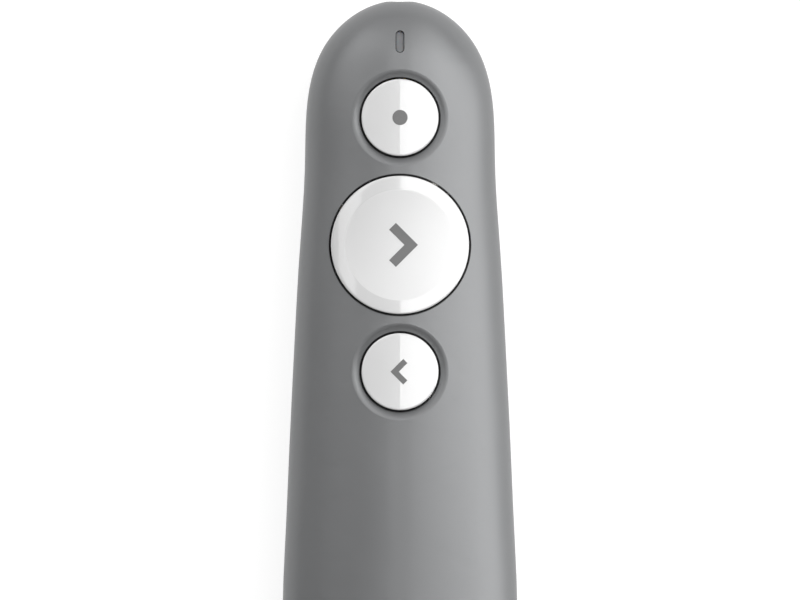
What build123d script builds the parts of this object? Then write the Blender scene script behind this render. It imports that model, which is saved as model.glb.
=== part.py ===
from build123d import *
import os
from functools import lru_cache
from math import asin, cos, degrees, hypot, radians, tan

# A hand-held presentation clicker lying on its back. Millimetres.
# X runs across, +Y towards the laser nose, +Z up through the button face, z = 0 is the desk.
# Lengths along the body are stations: distance from the nose apex towards the tail.

# --- outer form of the housing ---------------------------------------------------------------
HOUSING_LENGTH = 122.8       # nose flat to tail apex, without the receiver's grip
SPLIT_Z = 11.0               # height of the parting plane between the two covers
WALL = 1.6                   # moulded wall
FULLNESS = 0.62              # how full the section's quarter curves are, 0.55 is an ellipse
HEAD_STATION = 14.5          # the three stations where the form is given
WAIST_STATION = 60.0
HIP_STATION = 105.0
HEAD_HALF_WIDTH = 14.5
WAIST_HALF_WIDTH = 17.25
HIP_HALF_WIDTH = 19.1
HEAD_CROWN_Z = 20.3
WAIST_CROWN_Z = 21.2
HIP_CROWN_Z = 21.1
HEAD_BELLY_Z = 4.5           # the belly rises to the nose, and dips to be cut flat behind it
WAIST_BELLY_Z = -0.2
HIP_BELLY_Z = 0.0
NOSE_PLAN_RUN = 14.5         # length over which the nose closes, in plan, above and below
NOSE_CROWN_RUN = 13.0
NOSE_BELLY_RUN = 26.0
TAIL_PLAN_RUN = 27.0
TAIL_CROWN_RUN = 18.0
TAIL_BELLY_RUN = 20.0
NOSE_ANGLES = (10, 20, 32, 46, 62, 80)     # section spacing round the nose and the tail
TAIL_ANGLES = (84, 66, 50, 36, 23, 11)
MID_SECTIONS = 5

# --- joint between the covers ----------------------------------------------------------------
TONGUE_INSET = 0.85          # outer face of the upper cover's tongue, from the skin
TONGUE_DEPTH = 1.0
TONGUE_CLEAR = 0.1
SNAP_STATIONS = (31.0, 47.0)
SNAP_WIDTH = 4.0
SNAP_THICK = 0.9
SNAP_DROP = 2.4              # how far a snap tab reaches below the parting plane
SNAP_BARB = 0.7
SEAM = 0.2                   # shadow gap that shows as the parting line, as deep as it is high

# --- buttons ---------------------------------------------------------------------------------
SMALL_CAP_R = 6.17
BIG_CAP_R = 11.08
LASER_BUTTON_STATION = 19.0
NEXT_BUTTON_STATION = 39.4
BACK_BUTTON_STATION = 59.7
CAP_GAP = 0.27               # visible gap round a cap
CAP_PROUD = 0.4              # how far a cap stands out of the crowned face
CAP_SKIN = 1.4
CAP_EDGE_R = 0.25
COUNTERSINK = 1.1            # bevelled surround of the small buttons, measured along the face
COUNTERSINK_DEPTH = 0.6
COUNTERSINK_ROUND = 1.0      # radius that eases the surround into the crowned face
DISH_R = 8.77                # hollow in the big cap
DISH_DEPTH = 0.5
PLATE_THICK = 0.9            # carrier plate under each cap
EAR_THICK = 0.8
EAR_REACH = 0.8              # how far the retaining ears reach past the hole
EAR_HALF_WIDTH = 2.4
STOP_GAP = 0.15
COLLAR_WALL = 1.0
SPIGOT_WALL = 1.0
SPIGOT_HEIGHT = 0.8
PRESS_TRAVEL = 0.3           # stroke of a button and of its switch
STEM_R = 1.3
STEM_LENGTH = 0.3

# --- battery bay, sized by a standard AAA cell -----------------------------------------------
CELL_R = 5.25
CELL_LENGTH = 44.5
CELL_NUB_R = 1.9
CELL_NUB_LENGTH = 1.0
CELL_EDGE_R = 0.5
CELL_FLOOR_CLEAR = 0.45
CELL_SIDE_CLEAR = 0.25
TROUGH_WALL = 1.0
BAY_WALL = 1.2
CONTACT_THICK = 0.4
CONTACT_HALF_WIDTH = 4.0
CONTACT_DIMPLE = 0.5
SPRING_LENGTH = 4.2
SPRING_WIRE_R = 0.3
SPRING_COIL_R = 3.2
SPRING_TURNS = 3.5
TAB_HALF_WIDTH = 1.2

# --- battery door ----------------------------------------------------------------------------
DOOR_RIM_Z = 5.0
DOOR_GAP = 0.2
DOOR_LAP = 1.0               # length over which the door's front edge laps the lower cover's lip
DECK_THICK = 1.4
RAIL_BOTTOM_Z = 2.9
RAIL_THICK = 0.8
RAIL_REACH = 1.0
HOOK_CLEAR = 0.3
HOOK_LENGTH = 6.0
HOOK_OFFSETS = (2.4, 34.4)   # from the door's front edge
GRIP_OFFSET = 7.0
GRIP_GROOVES = 5
GRIP_PITCH = 2.0
GRIP_WIDTH = 0.9
GRIP_DEPTH = 0.5
GRIP_HALF_LENGTH = 8.0
CRADLE_RIB = 1.2
CRADLE_HEIGHT = 0.8

# --- main board and what it carries ----------------------------------------------------------
BOARD_THICK = 0.8
BOARD_OVER_TROUGH = 0.2
BOARD_FRONT = 15.4
BOARD_TAPER = 6.6
BOARD_LENGTH = 50.6
BOARD_HALF_WIDTH = 11.0
BOARD_NOSE_HALF_WIDTH = 8.5
BOARD_CORNER_R = 1.0
SWITCH_SIZE = 4.6
SWITCH_HEIGHT = 1.0
PLUNGER_R = 0.95
PLUNGER_PROUD = 0.3
PLUNGER_CLEAR = 0.08

# --- fasteners -------------------------------------------------------------------------------
BOARD_SCREW_X = 9.0
BOARD_SCREW_STATIONS = (27.4, 51.4)
BOARD_SCREW_R = 0.7
BOARD_SCREW_GRIP = 2.4
BOARD_HEAD_R = 1.4
BOARD_HEAD_HEIGHT = 1.0
BOARD_BOSS_R = 1.8
HOUSING_SCREW_X = 10.6
HOUSING_SCREW_STATIONS = (71.0, 99.0)
HOUSING_SCREW_R = 1.0
HOUSING_SCREW_GRIP = 4.6
HOUSING_HEAD_R = 1.9
HOUSING_HEAD_HEIGHT = 1.4
HOUSING_BOSS_R = 2.4
HEAD_SINK = 0.3              # a housing screw's head lies this deep in the deck
THREAD_CLEAR = 0.03
SHANK_CLEAR = 0.2
RECESS_WIDTH = 0.4

# --- laser -----------------------------------------------------------------------------------
LASER_Z = 12.05
APERTURE_R = 1.8
WINDOW_R = 2.4
WINDOW_THICK = 1.0
WINDOW_STATION = 2.35
WINDOW_SEAT_WALL = 0.9
BARREL_R = 3.0
BARREL_STATION = 7.0
BARREL_LENGTH = 8.0
LENS_BORE_R = 2.3
LENS_BORE_LENGTH = 3.0
CAN_BORE_R = 1.9
DIODE_BORE_R = 2.8
DIODE_BORE_LENGTH = 3.0
LENS_THICK = 1.4
LENS_EDGE_R = 0.9
LENS_RING_LENGTH = 1.1
LENS_RING_BORE_R = 1.5
DIODE_FLANGE = 1.2
DIODE_CAN_LENGTH = 1.4
PIN_R = 0.22
PIN_SPREAD = 1.27
PIN_LENGTH = 3.8
SEAT_CLEAR = 0.05
LASER_BOARD_THICK = 0.8
LASER_BOARD_HALF_WIDTH = 2.4
LASER_BOARD_LENGTH = 6.0
LASER_RIB_STATIONS = (9.3, 11.6)
LASER_RIB_THICK = 0.9
LASER_RIB_WALL = 1.2
LASER_WIRE_R = 0.35
LASER_WIRE_X = 1.3
LASER_WIRE_RUNS = (3.2, 4.2)

# --- indicator -------------------------------------------------------------------------------
SLOT_STATION = 6.8
SLOT_WIDTH = 1.4
SLOT_LENGTH = 3.6
GUIDE_CLEAR = 0.1
GUIDE_SINK = 0.5             # the light guide's end lies this far under the skin
GUIDE_THICK = 0.7
LED_LENGTH = 0.8
LED_HALF_WIDTH = 0.8
LED_HEIGHT = 0.7
LED_SETBACK = 0.35           # from the board's front edge

# --- USB receiver in the tail ----------------------------------------------------------------
PLUG_WIDTH = 12.0
PLUG_HEIGHT = 4.5
PLUG_LENGTH = 12.0
PLUG_SHEET = 0.3
PLUG_ROOT = 3.0              # length of the plug's shell inside the grip
GRIP_CAP_WIDTH = 14.4
GRIP_CAP_HEIGHT = 6.1
GRIP_CAP_LENGTH = 6.9
GRIP_CAP_PROUD = 1.2
GRIP_CAP_EDGE_R = 1.0
GRIP_CAP_END_R = 24.0
RECEIVER_CLEAR = 0.2
RECEIVER_END_CLEAR = 0.3
SLEEVE_WALL = 1.0
PLUG_WINDOW = 2.2
RECEIVER_BOARD_THICK = 0.6
RECEIVER_BOARD_LENGTH = 8.0

FAR = 200.0                  # reaches past the whole part

# --- heights and stations that follow from the sizes -----------------------------------------
NOSE_TRIM = NOSE_PLAN_RUN * (1 - cos(radians(NOSE_ANGLES[0])))
TAIL_TRIM = TAIL_PLAN_RUN * (1 - cos(radians(TAIL_ANGLES[-1])))
FORM_END = HOUSING_LENGTH + NOSE_TRIM + TAIL_TRIM
OVERALL_LENGTH = HOUSING_LENGTH + GRIP_CAP_PROUD

CELL_Z = WALL + CELL_FLOOR_CLEAR + CELL_R
TROUGH_R = CELL_R + CELL_SIDE_CLEAR
TROUGH_OUTER_R = TROUGH_R + TROUGH_WALL
BOARD_Z = CELL_Z + TROUGH_OUTER_R + BOARD_OVER_TROUGH
BOARD_TOP_Z = BOARD_Z + BOARD_THICK
PLUNGER_TOP_Z = BOARD_TOP_Z + SWITCH_HEIGHT + PLUNGER_PROUD
PLATE_Z = PLUNGER_TOP_Z + STEM_LENGTH
RIM_Z = PLATE_Z + PLATE_THICK
COLLAR_Z = RIM_Z + STOP_GAP
DECK_Z = DOOR_RIM_Z + DOOR_GAP
DECK_TOP_Z = DECK_Z + DECK_THICK

RECEIVER_END = HOUSING_LENGTH + NOSE_TRIM + GRIP_CAP_PROUD
GRIP_CAP_FRONT = RECEIVER_END - GRIP_CAP_LENGTH
PLUG_FRONT = GRIP_CAP_FRONT - PLUG_LENGTH
SLEEVE_FRONT = PLUG_FRONT - RECEIVER_END_CLEAR
BAY_REAR = SLEEVE_FRONT - BAY_WALL
CELL_REAR = BAY_REAR - CONTACT_THICK - SPRING_LENGTH
CELL_FRONT = CELL_REAR - CELL_LENGTH
BAY_FRONT = CELL_FRONT - CONTACT_DIMPLE - CONTACT_THICK
DOOR_FRONT = BAY_FRONT + DOOR_GAP
BOARD_REAR = BOARD_FRONT + BOARD_LENGTH
GUIDE_Z = LASER_Z + BARREL_R + GUIDE_CLEAR
BARREL_REAR = BARREL_STATION + BARREL_LENGTH

BUTTONS = {
    "laser": (LASER_BUTTON_STATION, SMALL_CAP_R),
    "next": (NEXT_BUTTON_STATION, BIG_CAP_R),
    "back": (BACK_BUTTON_STATION, SMALL_CAP_R),
}


# --- form of the housing ---------------------------------------------------------------------
def through(station, head, waist, hip):
    """Value at a station of the parabola through the three given stations."""
    a, b, c = HEAD_STATION, WAIST_STATION, HIP_STATION
    return (head * (station - b) * (station - c) / ((a - b) * (a - c))
            + waist * (station - a) * (station - c) / ((b - a) * (b - c))
            + hip * (station - a) * (station - b) / ((c - a) * (c - b)))


def closing(distance, run, power):
    """Superellipse that brings the form to an end: 0 at its apex, 1 once the run is over."""
    share = min(max(distance / run, 0.0), 1.0)
    return (1 - (1 - share) ** power) ** (1 / power)


def ends(station, inset, nose_run, nose_power, tail_run, tail_power):
    nose = closing(station - inset, nose_run - inset, nose_power)
    tail = closing(FORM_END - inset - station, tail_run - inset, tail_power)
    return nose * tail


def half_width(station, inset=0.0):
    width = through(station, HEAD_HALF_WIDTH, WAIST_HALF_WIDTH, HIP_HALF_WIDTH) - inset
    return width * ends(station, inset, NOSE_PLAN_RUN, 2.0, TAIL_PLAN_RUN, 2.4)


def crown(station, inset=0.0):
    height = through(station, HEAD_CROWN_Z, WAIST_CROWN_Z, HIP_CROWN_Z) - SPLIT_Z - inset
    return height * ends(station, inset, NOSE_CROWN_RUN, 2.6, TAIL_CROWN_RUN, 2.4)


def belly(station, inset=0.0):
    depth = SPLIT_Z - through(station, HEAD_BELLY_Z, WAIST_BELLY_Z, HIP_BELLY_Z) - inset
    return depth * ends(station, inset, NOSE_BELLY_RUN, 2.0, TAIL_BELLY_RUN, 2.2)


def y_at(station):
    return OVERALL_LENGTH / 2 + NOSE_TRIM - station


def section(station, inset):
    """Closed section of the form: four quarter curves round the parting plane."""
    w, up, down = half_width(station, inset), crown(station, inset), belly(station, inset)
    y = y_at(station)
    quarters = []
    for side, rise in ((1, up), (-1, up), (-1, -down), (1, -down)):
        flank = Vector(side * w, y, SPLIT_Z)
        ridge = Vector(0, y, SPLIT_Z + rise)
        flank_handle = Vector(side * w, y, SPLIT_Z + FULLNESS * rise)
        ridge_handle = Vector(side * FULLNESS * w, y, SPLIT_Z + rise)
        points = [flank, flank_handle, ridge_handle, ridge]
        quarters.append(Bezier(*(points if side * rise > 0 else points[::-1])))
    return Wire([quarter.edge() for quarter in quarters])


@lru_cache
def form(inset):
    """Solid of the housing's outer form, moved inwards by the inset and cut flat below."""
    nose_r = NOSE_PLAN_RUN - inset
    tail_r = TAIL_PLAN_RUN - inset
    nose = [inset + nose_r * (1 - cos(radians(a))) for a in NOSE_ANGLES]
    tail = [FORM_END - inset - tail_r * (1 - cos(radians(a))) for a in TAIL_ANGLES]
    step = (tail[0] - nose[-1]) / (MID_SECTIONS + 1)
    middle = [nose[-1] + step * (i + 1) for i in range(MID_SECTIONS)]
    solid = Solid.make_loft([section(s, inset) for s in nose + middle + tail])
    return solid & slab(max(inset, 0.0), FAR)


# --- simple shapes placed by station ---------------------------------------------------------
def block(x, station, z):
    """Box between the two values given for each direction."""
    middle = Pos((x[0] + x[1]) / 2, (y_at(station[0]) + y_at(station[1])) / 2, (z[0] + z[1]) / 2)
    return middle * Box(x[1] - x[0], station[1] - station[0], z[1] - z[0])


def bar(half_x, station, z):
    return block((-half_x, half_x), station, z)


def slab(z_low, z_high):
    return bar(FAR, (-FAR, FAR), (z_low, z_high))


def post(x, station, r, z):
    """Upright cylinder, turned so that its seam lies on the body's ridge."""
    return Pos(x, y_at(station), (z[0] + z[1]) / 2) * Rot(0, 0, 90) * Cylinder(r, z[1] - z[0])


def rod(r, station, x=0.0, z=LASER_Z):
    """Cylinder along the body."""
    middle = Pos(x, (y_at(station[0]) + y_at(station[1])) / 2, z)
    return middle * Rot(90, 0, 0) * Cylinder(r, station[1] - station[0])


def rim_edges(solid, station, r, z_min, slack=0.01):
    """Curved edges at radius r about a button's axis, above z_min."""
    chosen = []
    for edge in solid.edges():
        middle = edge @ 0.5
        on_rim = abs(hypot(middle.X, middle.Y - y_at(station)) - r) < slack
        if on_rim and middle.Z > z_min and edge.geom_type != GeomType.LINE:
            chosen.append(edge)
    return chosen


def tube(points, r):
    """Round lead along straight runs joined by the largest tangent arcs that fit."""
    radii = []
    for before, corner, after in zip(points, points[1:], points[2:]):
        run_in = Vector(*corner) - Vector(*before)
        run_out = Vector(*after) - Vector(*corner)
        half_turn = radians(run_in.get_angle(run_out)) / 2
        radii.append(0.45 * min(run_in.length, run_out.length) / tan(half_turn))
    path = FilletPolyline(*points, radius=radii)
    return sweep(Plane(path @ 0, z_dir=path % 0) * Circle(r), path=path)


# --- covers ----------------------------------------------------------------------------------
def board_screw_places():
    return [(x, s) for x in (-BOARD_SCREW_X, BOARD_SCREW_X) for s in BOARD_SCREW_STATIONS]


def housing_screw_places():
    return [(x, s) for x in (-HOUSING_SCREW_X, HOUSING_SCREW_X) for s in HOUSING_SCREW_STATIONS]


def slot(length, width, z):
    """Upright prism with rounded ends at the indicator, its long side along the body."""
    outline = SlotOverall(length, width, rotation=90)
    return Pos(0, y_at(SLOT_STATION), z[0]) * extrude(outline, z[1] - z[0])


def trough(r, station, bottom_z):
    """Space of the cell: straight sides and a half-round roof."""
    sides = bar(r, station, (bottom_z, CELL_Z))
    return sides + (rod(r, station, z=CELL_Z) & slab(CELL_Z, FAR))


def receiver_pocket():
    cap_half = GRIP_CAP_WIDTH / 2 + RECEIVER_CLEAR
    cap_rise = GRIP_CAP_HEIGHT / 2 + RECEIVER_CLEAR
    plug_half = PLUG_WIDTH / 2 + RECEIVER_CLEAR
    plug_rise = PLUG_HEIGHT / 2 + RECEIVER_CLEAR
    cap = bar(cap_half, (GRIP_CAP_FRONT - RECEIVER_END_CLEAR, FAR), (SPLIT_Z - cap_rise, SPLIT_Z + cap_rise))
    plug = bar(plug_half, (SLEEVE_FRONT, FAR), (SPLIT_Z - plug_rise, SPLIT_Z + plug_rise))
    return cap + plug


def receiver_sleeve(clear):
    """Outside of the sleeve that holds the receiver."""
    half = GRIP_CAP_WIDTH / 2 + RECEIVER_CLEAR + SLEEVE_WALL + clear
    rise = GRIP_CAP_HEIGHT / 2 + RECEIVER_CLEAR + SLEEVE_WALL + clear
    return bar(half, (BAY_REAR - clear, FAR), (DECK_Z, SPLIT_Z + rise))


def nose_seat(clear=0.0):
    """Round seat that both covers form round the laser window."""
    rear = WINDOW_STATION + WINDOW_THICK + WINDOW_SEAT_WALL + clear
    return rod(WINDOW_R + WINDOW_SEAT_WALL + clear, (0, rear))


def nose_bores():
    window = (WINDOW_STATION - SEAT_CLEAR, WINDOW_STATION + WINDOW_THICK + SEAT_CLEAR)
    return rod(WINDOW_R + SEAT_CLEAR, window) + rod(APERTURE_R, (-WALL, BARREL_STATION))


def laser_ribs():
    half = BARREL_R + LASER_RIB_WALL
    reach = LASER_RIB_THICK / 2
    return [bar(half, (s - reach, s + reach), (0, FAR)) for s in LASER_RIB_STATIONS]


def barrel_space():
    return rod(BARREL_R + SEAT_CLEAR, (BARREL_STATION - SEAT_CLEAR, BOARD_FRONT))


def snap_x(station):
    """Inner face of the wall at a snap tab."""
    return half_width(station, WALL)


def snap_tab(side, station):
    """Tab that hangs from the upper cover, with a barb for the lower one."""
    wall_x = snap_x(station)
    root_x, face_x = wall_x - SNAP_THICK * 2, wall_x - SNAP_THICK
    along = (station - SNAP_WIDTH / 2, station + SNAP_WIDTH / 2)
    bottom = SPLIT_Z - SNAP_DROP
    tab = block((root_x, face_x), along, (bottom, SPLIT_Z + SNAP_THICK))
    root = block((root_x, wall_x + WALL / 2), along, (SPLIT_Z + STOP_GAP, SPLIT_Z + SNAP_THICK + STOP_GAP))
    barb = block((face_x, face_x + SNAP_BARB), along, (bottom, bottom + SNAP_THICK))
    whole = tab + root + barb
    return whole if side > 0 else mirror(whole, about=Plane.YZ)


def snap_pocket(side, station):
    """Recess in the lower cover's wall that takes the barb."""
    face_x = snap_x(station) - SNAP_THICK
    along = (station - SNAP_WIDTH / 2 - STOP_GAP, station + SNAP_WIDTH / 2 + STOP_GAP)
    bottom = SPLIT_Z - SNAP_DROP - STOP_GAP
    height = (bottom, bottom + SNAP_THICK + 2 * STOP_GAP)
    pocket = block((0, face_x + SNAP_BARB + STOP_GAP), along, height)
    return pocket if side > 0 else mirror(pocket, about=Plane.YZ)


def countersunk(cover, station, hole_r):
    """Bevels the hole of a small button and eases the bevel's outer edge."""
    z_min = SPLIT_Z + crown(station) - WALL
    hole = rim_edges(cover, station, hole_r, z_min)
    cover = chamfer(hole, length=COUNTERSINK, length2=COUNTERSINK_DEPTH)
    outer = rim_edges(cover, station, hole_r + COUNTERSINK, z_min, COUNTERSINK / 10)
    return fillet(outer, COUNTERSINK_ROUND)


def top_cover():
    cavity = form(WALL)
    cover = (form(0.0) & slab(SPLIT_Z, FAR)) - cavity
    for name, (station, cap_r) in BUTTONS.items():
        hole_r = cap_r + CAP_GAP
        collar = post(0, station, hole_r + COLLAR_WALL, (COLLAR_Z, FAR)) & form(WALL / 2)
        cover = cover + collar - post(0, station, hole_r, (BOARD_TOP_Z, FAR))
        if name != "next":
            cover = countersunk(cover, station, hole_r)
    inside = form(WALL / 2)
    tongue = (form(TONGUE_INSET) & slab(SPLIT_Z - TONGUE_DEPTH, SPLIT_Z)) - cavity
    cover += tongue - nose_seat(TONGUE_CLEAR)
    cover += nose_seat() & slab(SPLIT_Z, FAR) & inside
    for rib in laser_ribs():
        cover += rib & slab(SPLIT_Z, FAR) & inside
    for x, s in board_screw_places():
        cover += post(x, s, BOARD_BOSS_R, (BOARD_TOP_Z, FAR)) & inside
    for x, s in housing_screw_places():
        cover += post(x, s, HOUSING_BOSS_R, (SPLIT_Z, FAR)) & inside
    for side in (-1, 1):
        for s in SNAP_STATIONS:
            cover += snap_tab(side, s)
    for x, s in board_screw_places():
        cover -= post(x, s, BOARD_SCREW_R + THREAD_CLEAR, (0, BOARD_TOP_Z + BOARD_SCREW_GRIP))
    for x, s in housing_screw_places():
        cover -= post(x, s, HOUSING_SCREW_R + THREAD_CLEAR, (0, SPLIT_Z + HOUSING_SCREW_GRIP))
    guide_half = SLOT_WIDTH / 2 + GUIDE_CLEAR
    guide_way = (GUIDE_Z - GUIDE_CLEAR, GUIDE_Z + 2 * GUIDE_THICK)
    cover -= bar(guide_half, (SLOT_STATION, BOARD_FRONT), guide_way)
    cover -= slot(SLOT_LENGTH, SLOT_WIDTH, (GUIDE_Z, FAR))
    cover -= nose_bores() + barrel_space()
    cover -= receiver_pocket()
    cover -= receiver_sleeve(RECEIVER_CLEAR) & (cavity + slab(0, SPLIT_Z))
    return cover


def bottom_cover():
    cavity = form(WALL)
    cover = (form(0.0) & slab(0, SPLIT_Z)) - cavity
    cover -= form(TONGUE_INSET - TONGUE_CLEAR) & slab(SPLIT_Z - TONGUE_DEPTH, SPLIT_Z)
    cover -= slab(SPLIT_Z - SEAM, SPLIT_Z) - form(SEAM)
    cover -= bar(FAR, (BAY_FRONT, FAR), (0, DECK_Z))
    inside = form(WALL / 2)
    bulkhead = (BAY_FRONT - BAY_WALL, BAY_FRONT)
    cover += bar(FAR, bulkhead, (0, DECK_TOP_Z)) & inside
    cover += bar(FAR, (BAY_FRONT - BAY_WALL, FAR), (DECK_Z, DECK_TOP_Z)) & inside
    cover += receiver_sleeve(0.0) & (inside & slab(0, SPLIT_Z - TONGUE_DEPTH) + form(WALL + RECEIVER_CLEAR))
    cover += trough(TROUGH_OUTER_R, (BAY_FRONT - BAY_WALL, BAY_REAR + BAY_WALL), RAIL_BOTTOM_Z)
    cover -= trough(TROUGH_R, (BAY_FRONT, BAY_REAR), 0)
    lip = form(WALL / 2 + TONGUE_CLEAR) - cavity
    cover += bar(FAR, (BAY_FRONT - BAY_WALL, BAY_FRONT + DOOR_LAP), (0, DECK_Z)) & lip
    rail_x = (TROUGH_OUTER_R, TROUGH_OUTER_R + RAIL_REACH)
    rail_span = (DOOR_FRONT + HOOK_OFFSETS[0] - HOOK_CLEAR, BAY_REAR + BAY_WALL)
    rail = block(rail_x, rail_span, (RAIL_BOTTOM_Z, RAIL_BOTTOM_Z + RAIL_THICK))
    cover += rail + mirror(rail, about=Plane.YZ)
    for x, s in housing_screw_places():
        cover += post(x, s, HOUSING_BOSS_R, (DECK_Z, SPLIT_Z))
        head_top = DECK_Z + HEAD_SINK + HOUSING_HEAD_HEIGHT
        cover -= post(x, s, HOUSING_HEAD_R + SHANK_CLEAR, (DECK_Z, head_top))
        cover -= post(x, s, HOUSING_SCREW_R + SHANK_CLEAR, (DECK_Z, SPLIT_Z))
    cover += nose_seat() & slab(0, SPLIT_Z) & inside
    for rib in laser_ribs():
        cover += rib & slab(0, SPLIT_Z) & inside
    for side in (-1, 1):
        for s in SNAP_STATIONS:
            cover -= snap_pocket(side, s)
    cover -= nose_bores() + barrel_space()
    cover -= receiver_pocket()
    for end in (BAY_FRONT, BAY_REAR - CONTACT_THICK):
        cover -= bar(TAB_HALF_WIDTH + SEAT_CLEAR, (end, end + CONTACT_THICK), (CELL_Z, FAR))
    return cover


def battery_door():
    door = (form(0.0) & slab(0, DOOR_RIM_Z)) - form(WALL)
    door &= bar(FAR, (DOOR_FRONT, FAR), (0, FAR))
    door -= bar(FAR, (DOOR_FRONT, DOOR_FRONT + DOOR_LAP), (0, DOOR_RIM_Z)) & form(WALL / 2)
    hook_z = (RAIL_BOTTOM_Z + RAIL_THICK + HOOK_CLEAR, DECK_Z - HOOK_CLEAR)
    hook_x = TROUGH_OUTER_R + HOOK_CLEAR
    for offset in HOOK_OFFSETS:
        along = (DOOR_FRONT + offset, DOOR_FRONT + offset + HOOK_LENGTH)
        pair = bar(FAR, along, hook_z) - bar(hook_x, along, hook_z)
        door += pair & form(WALL / 2)
        rib_z = (WALL / 2, WALL + CRADLE_HEIGHT)
        middle = (along[0] + along[1]) / 2
        rib = bar(TROUGH_R, (middle - CRADLE_RIB / 2, middle + CRADLE_RIB / 2), rib_z)
        door += rib - rod(CELL_R + STOP_GAP, along, z=CELL_Z)
    for i in range(GRIP_GROOVES):
        start = DOOR_FRONT + GRIP_OFFSET + i * GRIP_PITCH
        groove = bar(GRIP_HALF_LENGTH, (start, start + GRIP_WIDTH), (-FAR, DOOR_RIM_Z))
        door -= groove - form(GRIP_DEPTH)
    return door


# --- buttons ---------------------------------------------------------------------------------
def dish(station):
    """Saddle-shaped hollow whose edge is a circle on the crowned cap."""
    ridge = SPLIT_Z + crown(station, -CAP_PROUD)
    flank = SPLIT_Z + cap_height_at(station, DISH_R)
    bottom = ridge - DISH_DEPTH
    lid = ridge + DISH_R
    floor = ThreePointArc((-DISH_R, flank), (0, bottom), (DISH_R, flank))
    sides = Polyline((DISH_R, flank), (DISH_R, lid), (-DISH_R, lid), (-DISH_R, flank))
    profile = Plane.XZ * make_face((floor + sides).edges())
    swing_r = DISH_R ** 2 / (2 * DISH_DEPTH)
    swing = 2 * degrees(asin(DISH_R / swing_r))
    axis = Axis((0, 0, bottom + swing_r), (1, 0, 0))
    return Pos(0, y_at(station), 0) * revolve(profile.rotate(axis, -swing), axis, 2 * swing)


def cap_height_at(station, x):
    """Height of a cap's face above the parting plane, x off the ridge."""
    w, rise = half_width(station, -CAP_PROUD), crown(station, -CAP_PROUD)
    low, high = 0.0, 1.0
    for _ in range(40):
        t = (low + high) / 2
        across = w * ((1 - t) ** 3 + 3 * t * (1 - t) ** 2 + 3 * FULLNESS * t ** 2 * (1 - t))
        low, high = (t, high) if across > x else (low, t)
    return rise * (3 * FULLNESS * t * (1 - t) ** 2 + 3 * t ** 2 * (1 - t) + t ** 3)


def button_cap(name):
    station, r = BUTTONS[name]
    cap = post(0, station, r, (RIM_Z, FAR)) & form(-CAP_PROUD)
    if name == "next":
        cap -= dish(station) & post(0, station, DISH_R, (RIM_Z, FAR))
    edges = rim_edges(cap, station, r, RIM_Z + CAP_EDGE_R)
    cap = fillet(edges, CAP_EDGE_R)
    cap -= post(0, station, r - CAP_SKIN, (RIM_Z, FAR)) & form(CAP_SKIN - CAP_PROUD)
    return cap


def button_carrier(name):
    station, r = BUTTONS[name]
    carrier = post(0, station, r, (PLATE_Z, RIM_Z))
    reach = r + CAP_GAP + EAR_REACH
    ear_z = (RIM_Z - EAR_THICK, RIM_Z)
    if name == "next":
        carrier += bar(EAR_HALF_WIDTH, (station - reach, station + reach), ear_z)
    else:
        carrier += bar(reach, (station - EAR_HALF_WIDTH, station + EAR_HALF_WIDTH), ear_z)
    spigot_r = r - CAP_SKIN - SEAT_CLEAR
    spigot_z = (RIM_Z, RIM_Z + SPIGOT_HEIGHT)
    carrier += post(0, station, spigot_r, spigot_z) - post(0, station, spigot_r - SPIGOT_WALL, spigot_z)
    carrier += post(0, station, STEM_R, (PLUNGER_TOP_Z, PLATE_Z))
    return carrier


def switch_body(name):
    station = BUTTONS[name][0]
    half = SWITCH_SIZE / 2
    z = (BOARD_TOP_Z, BOARD_TOP_Z + SWITCH_HEIGHT)
    housing = bar(half, (station - half, station + half), z)
    housing = chamfer(housing.edges().filter_by(Axis.Z), BOARD_THICK / 2)
    return housing - post(0, station, PLUNGER_R + PLUNGER_CLEAR, z)


def switch_plunger(name):
    station = BUTTONS[name][0]
    bottom = BOARD_TOP_Z + PRESS_TRAVEL + SEAT_CLEAR
    return post(0, station, PLUNGER_R, (bottom, PLUNGER_TOP_Z))


# --- main board ------------------------------------------------------------------------------
def main_board():
    shoulder = y_at(BOARD_FRONT + BOARD_TAPER)
    front, rear = y_at(BOARD_FRONT), y_at(BOARD_REAR)
    right = [(BOARD_NOSE_HALF_WIDTH, front), (BOARD_HALF_WIDTH, shoulder), (BOARD_HALF_WIDTH, rear)]
    left = [(-x, y) for x, y in reversed(right)]
    outline = make_face(Polyline(*right, *left, close=True))
    outline = fillet(outline.vertices(), BOARD_CORNER_R)
    board = Pos(0, 0, BOARD_Z) * extrude(outline, BOARD_THICK)
    for x, s in board_screw_places():
        board -= post(x, s, BOARD_SCREW_R + SHANK_CLEAR, (BOARD_Z, BOARD_TOP_Z))
    return board


def on_board(x, station, size_x, size_along, height):
    """Block soldered on the board's upper face."""
    half_x, half_along = size_x / 2, size_along / 2
    along = (station - half_along, station + half_along)
    return block((x - half_x, x + half_x), along, (BOARD_TOP_Z, BOARD_TOP_Z + height))


def mcu_chip():
    return on_board(-5.2, LASER_BUTTON_STATION + 12.2, 4.0, 4.0, 0.85)


def crystal():
    can = on_board(4.4, LASER_BUTTON_STATION + 11.6, 3.2, 2.5, 0.7)
    return fillet(can.edges().filter_by(Axis.Z), 0.4)


def antenna_chip():
    return on_board(BOARD_HALF_WIDTH - 3.6, BOARD_REAR - 2.2, 5.2, 2.0, 1.1)


def board_passives():
    """Row of small resistors and capacitors beside the processor."""
    pieces = []
    for column in (-9.4, -1.2, 0.6, 7.6):
        for row in range(3):
            station = LASER_BUTTON_STATION + 12.6 + 1.7 * row
            pieces.append(on_board(column, station, 0.6, 1.1, 0.45))
    return Compound(children=pieces)


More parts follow.
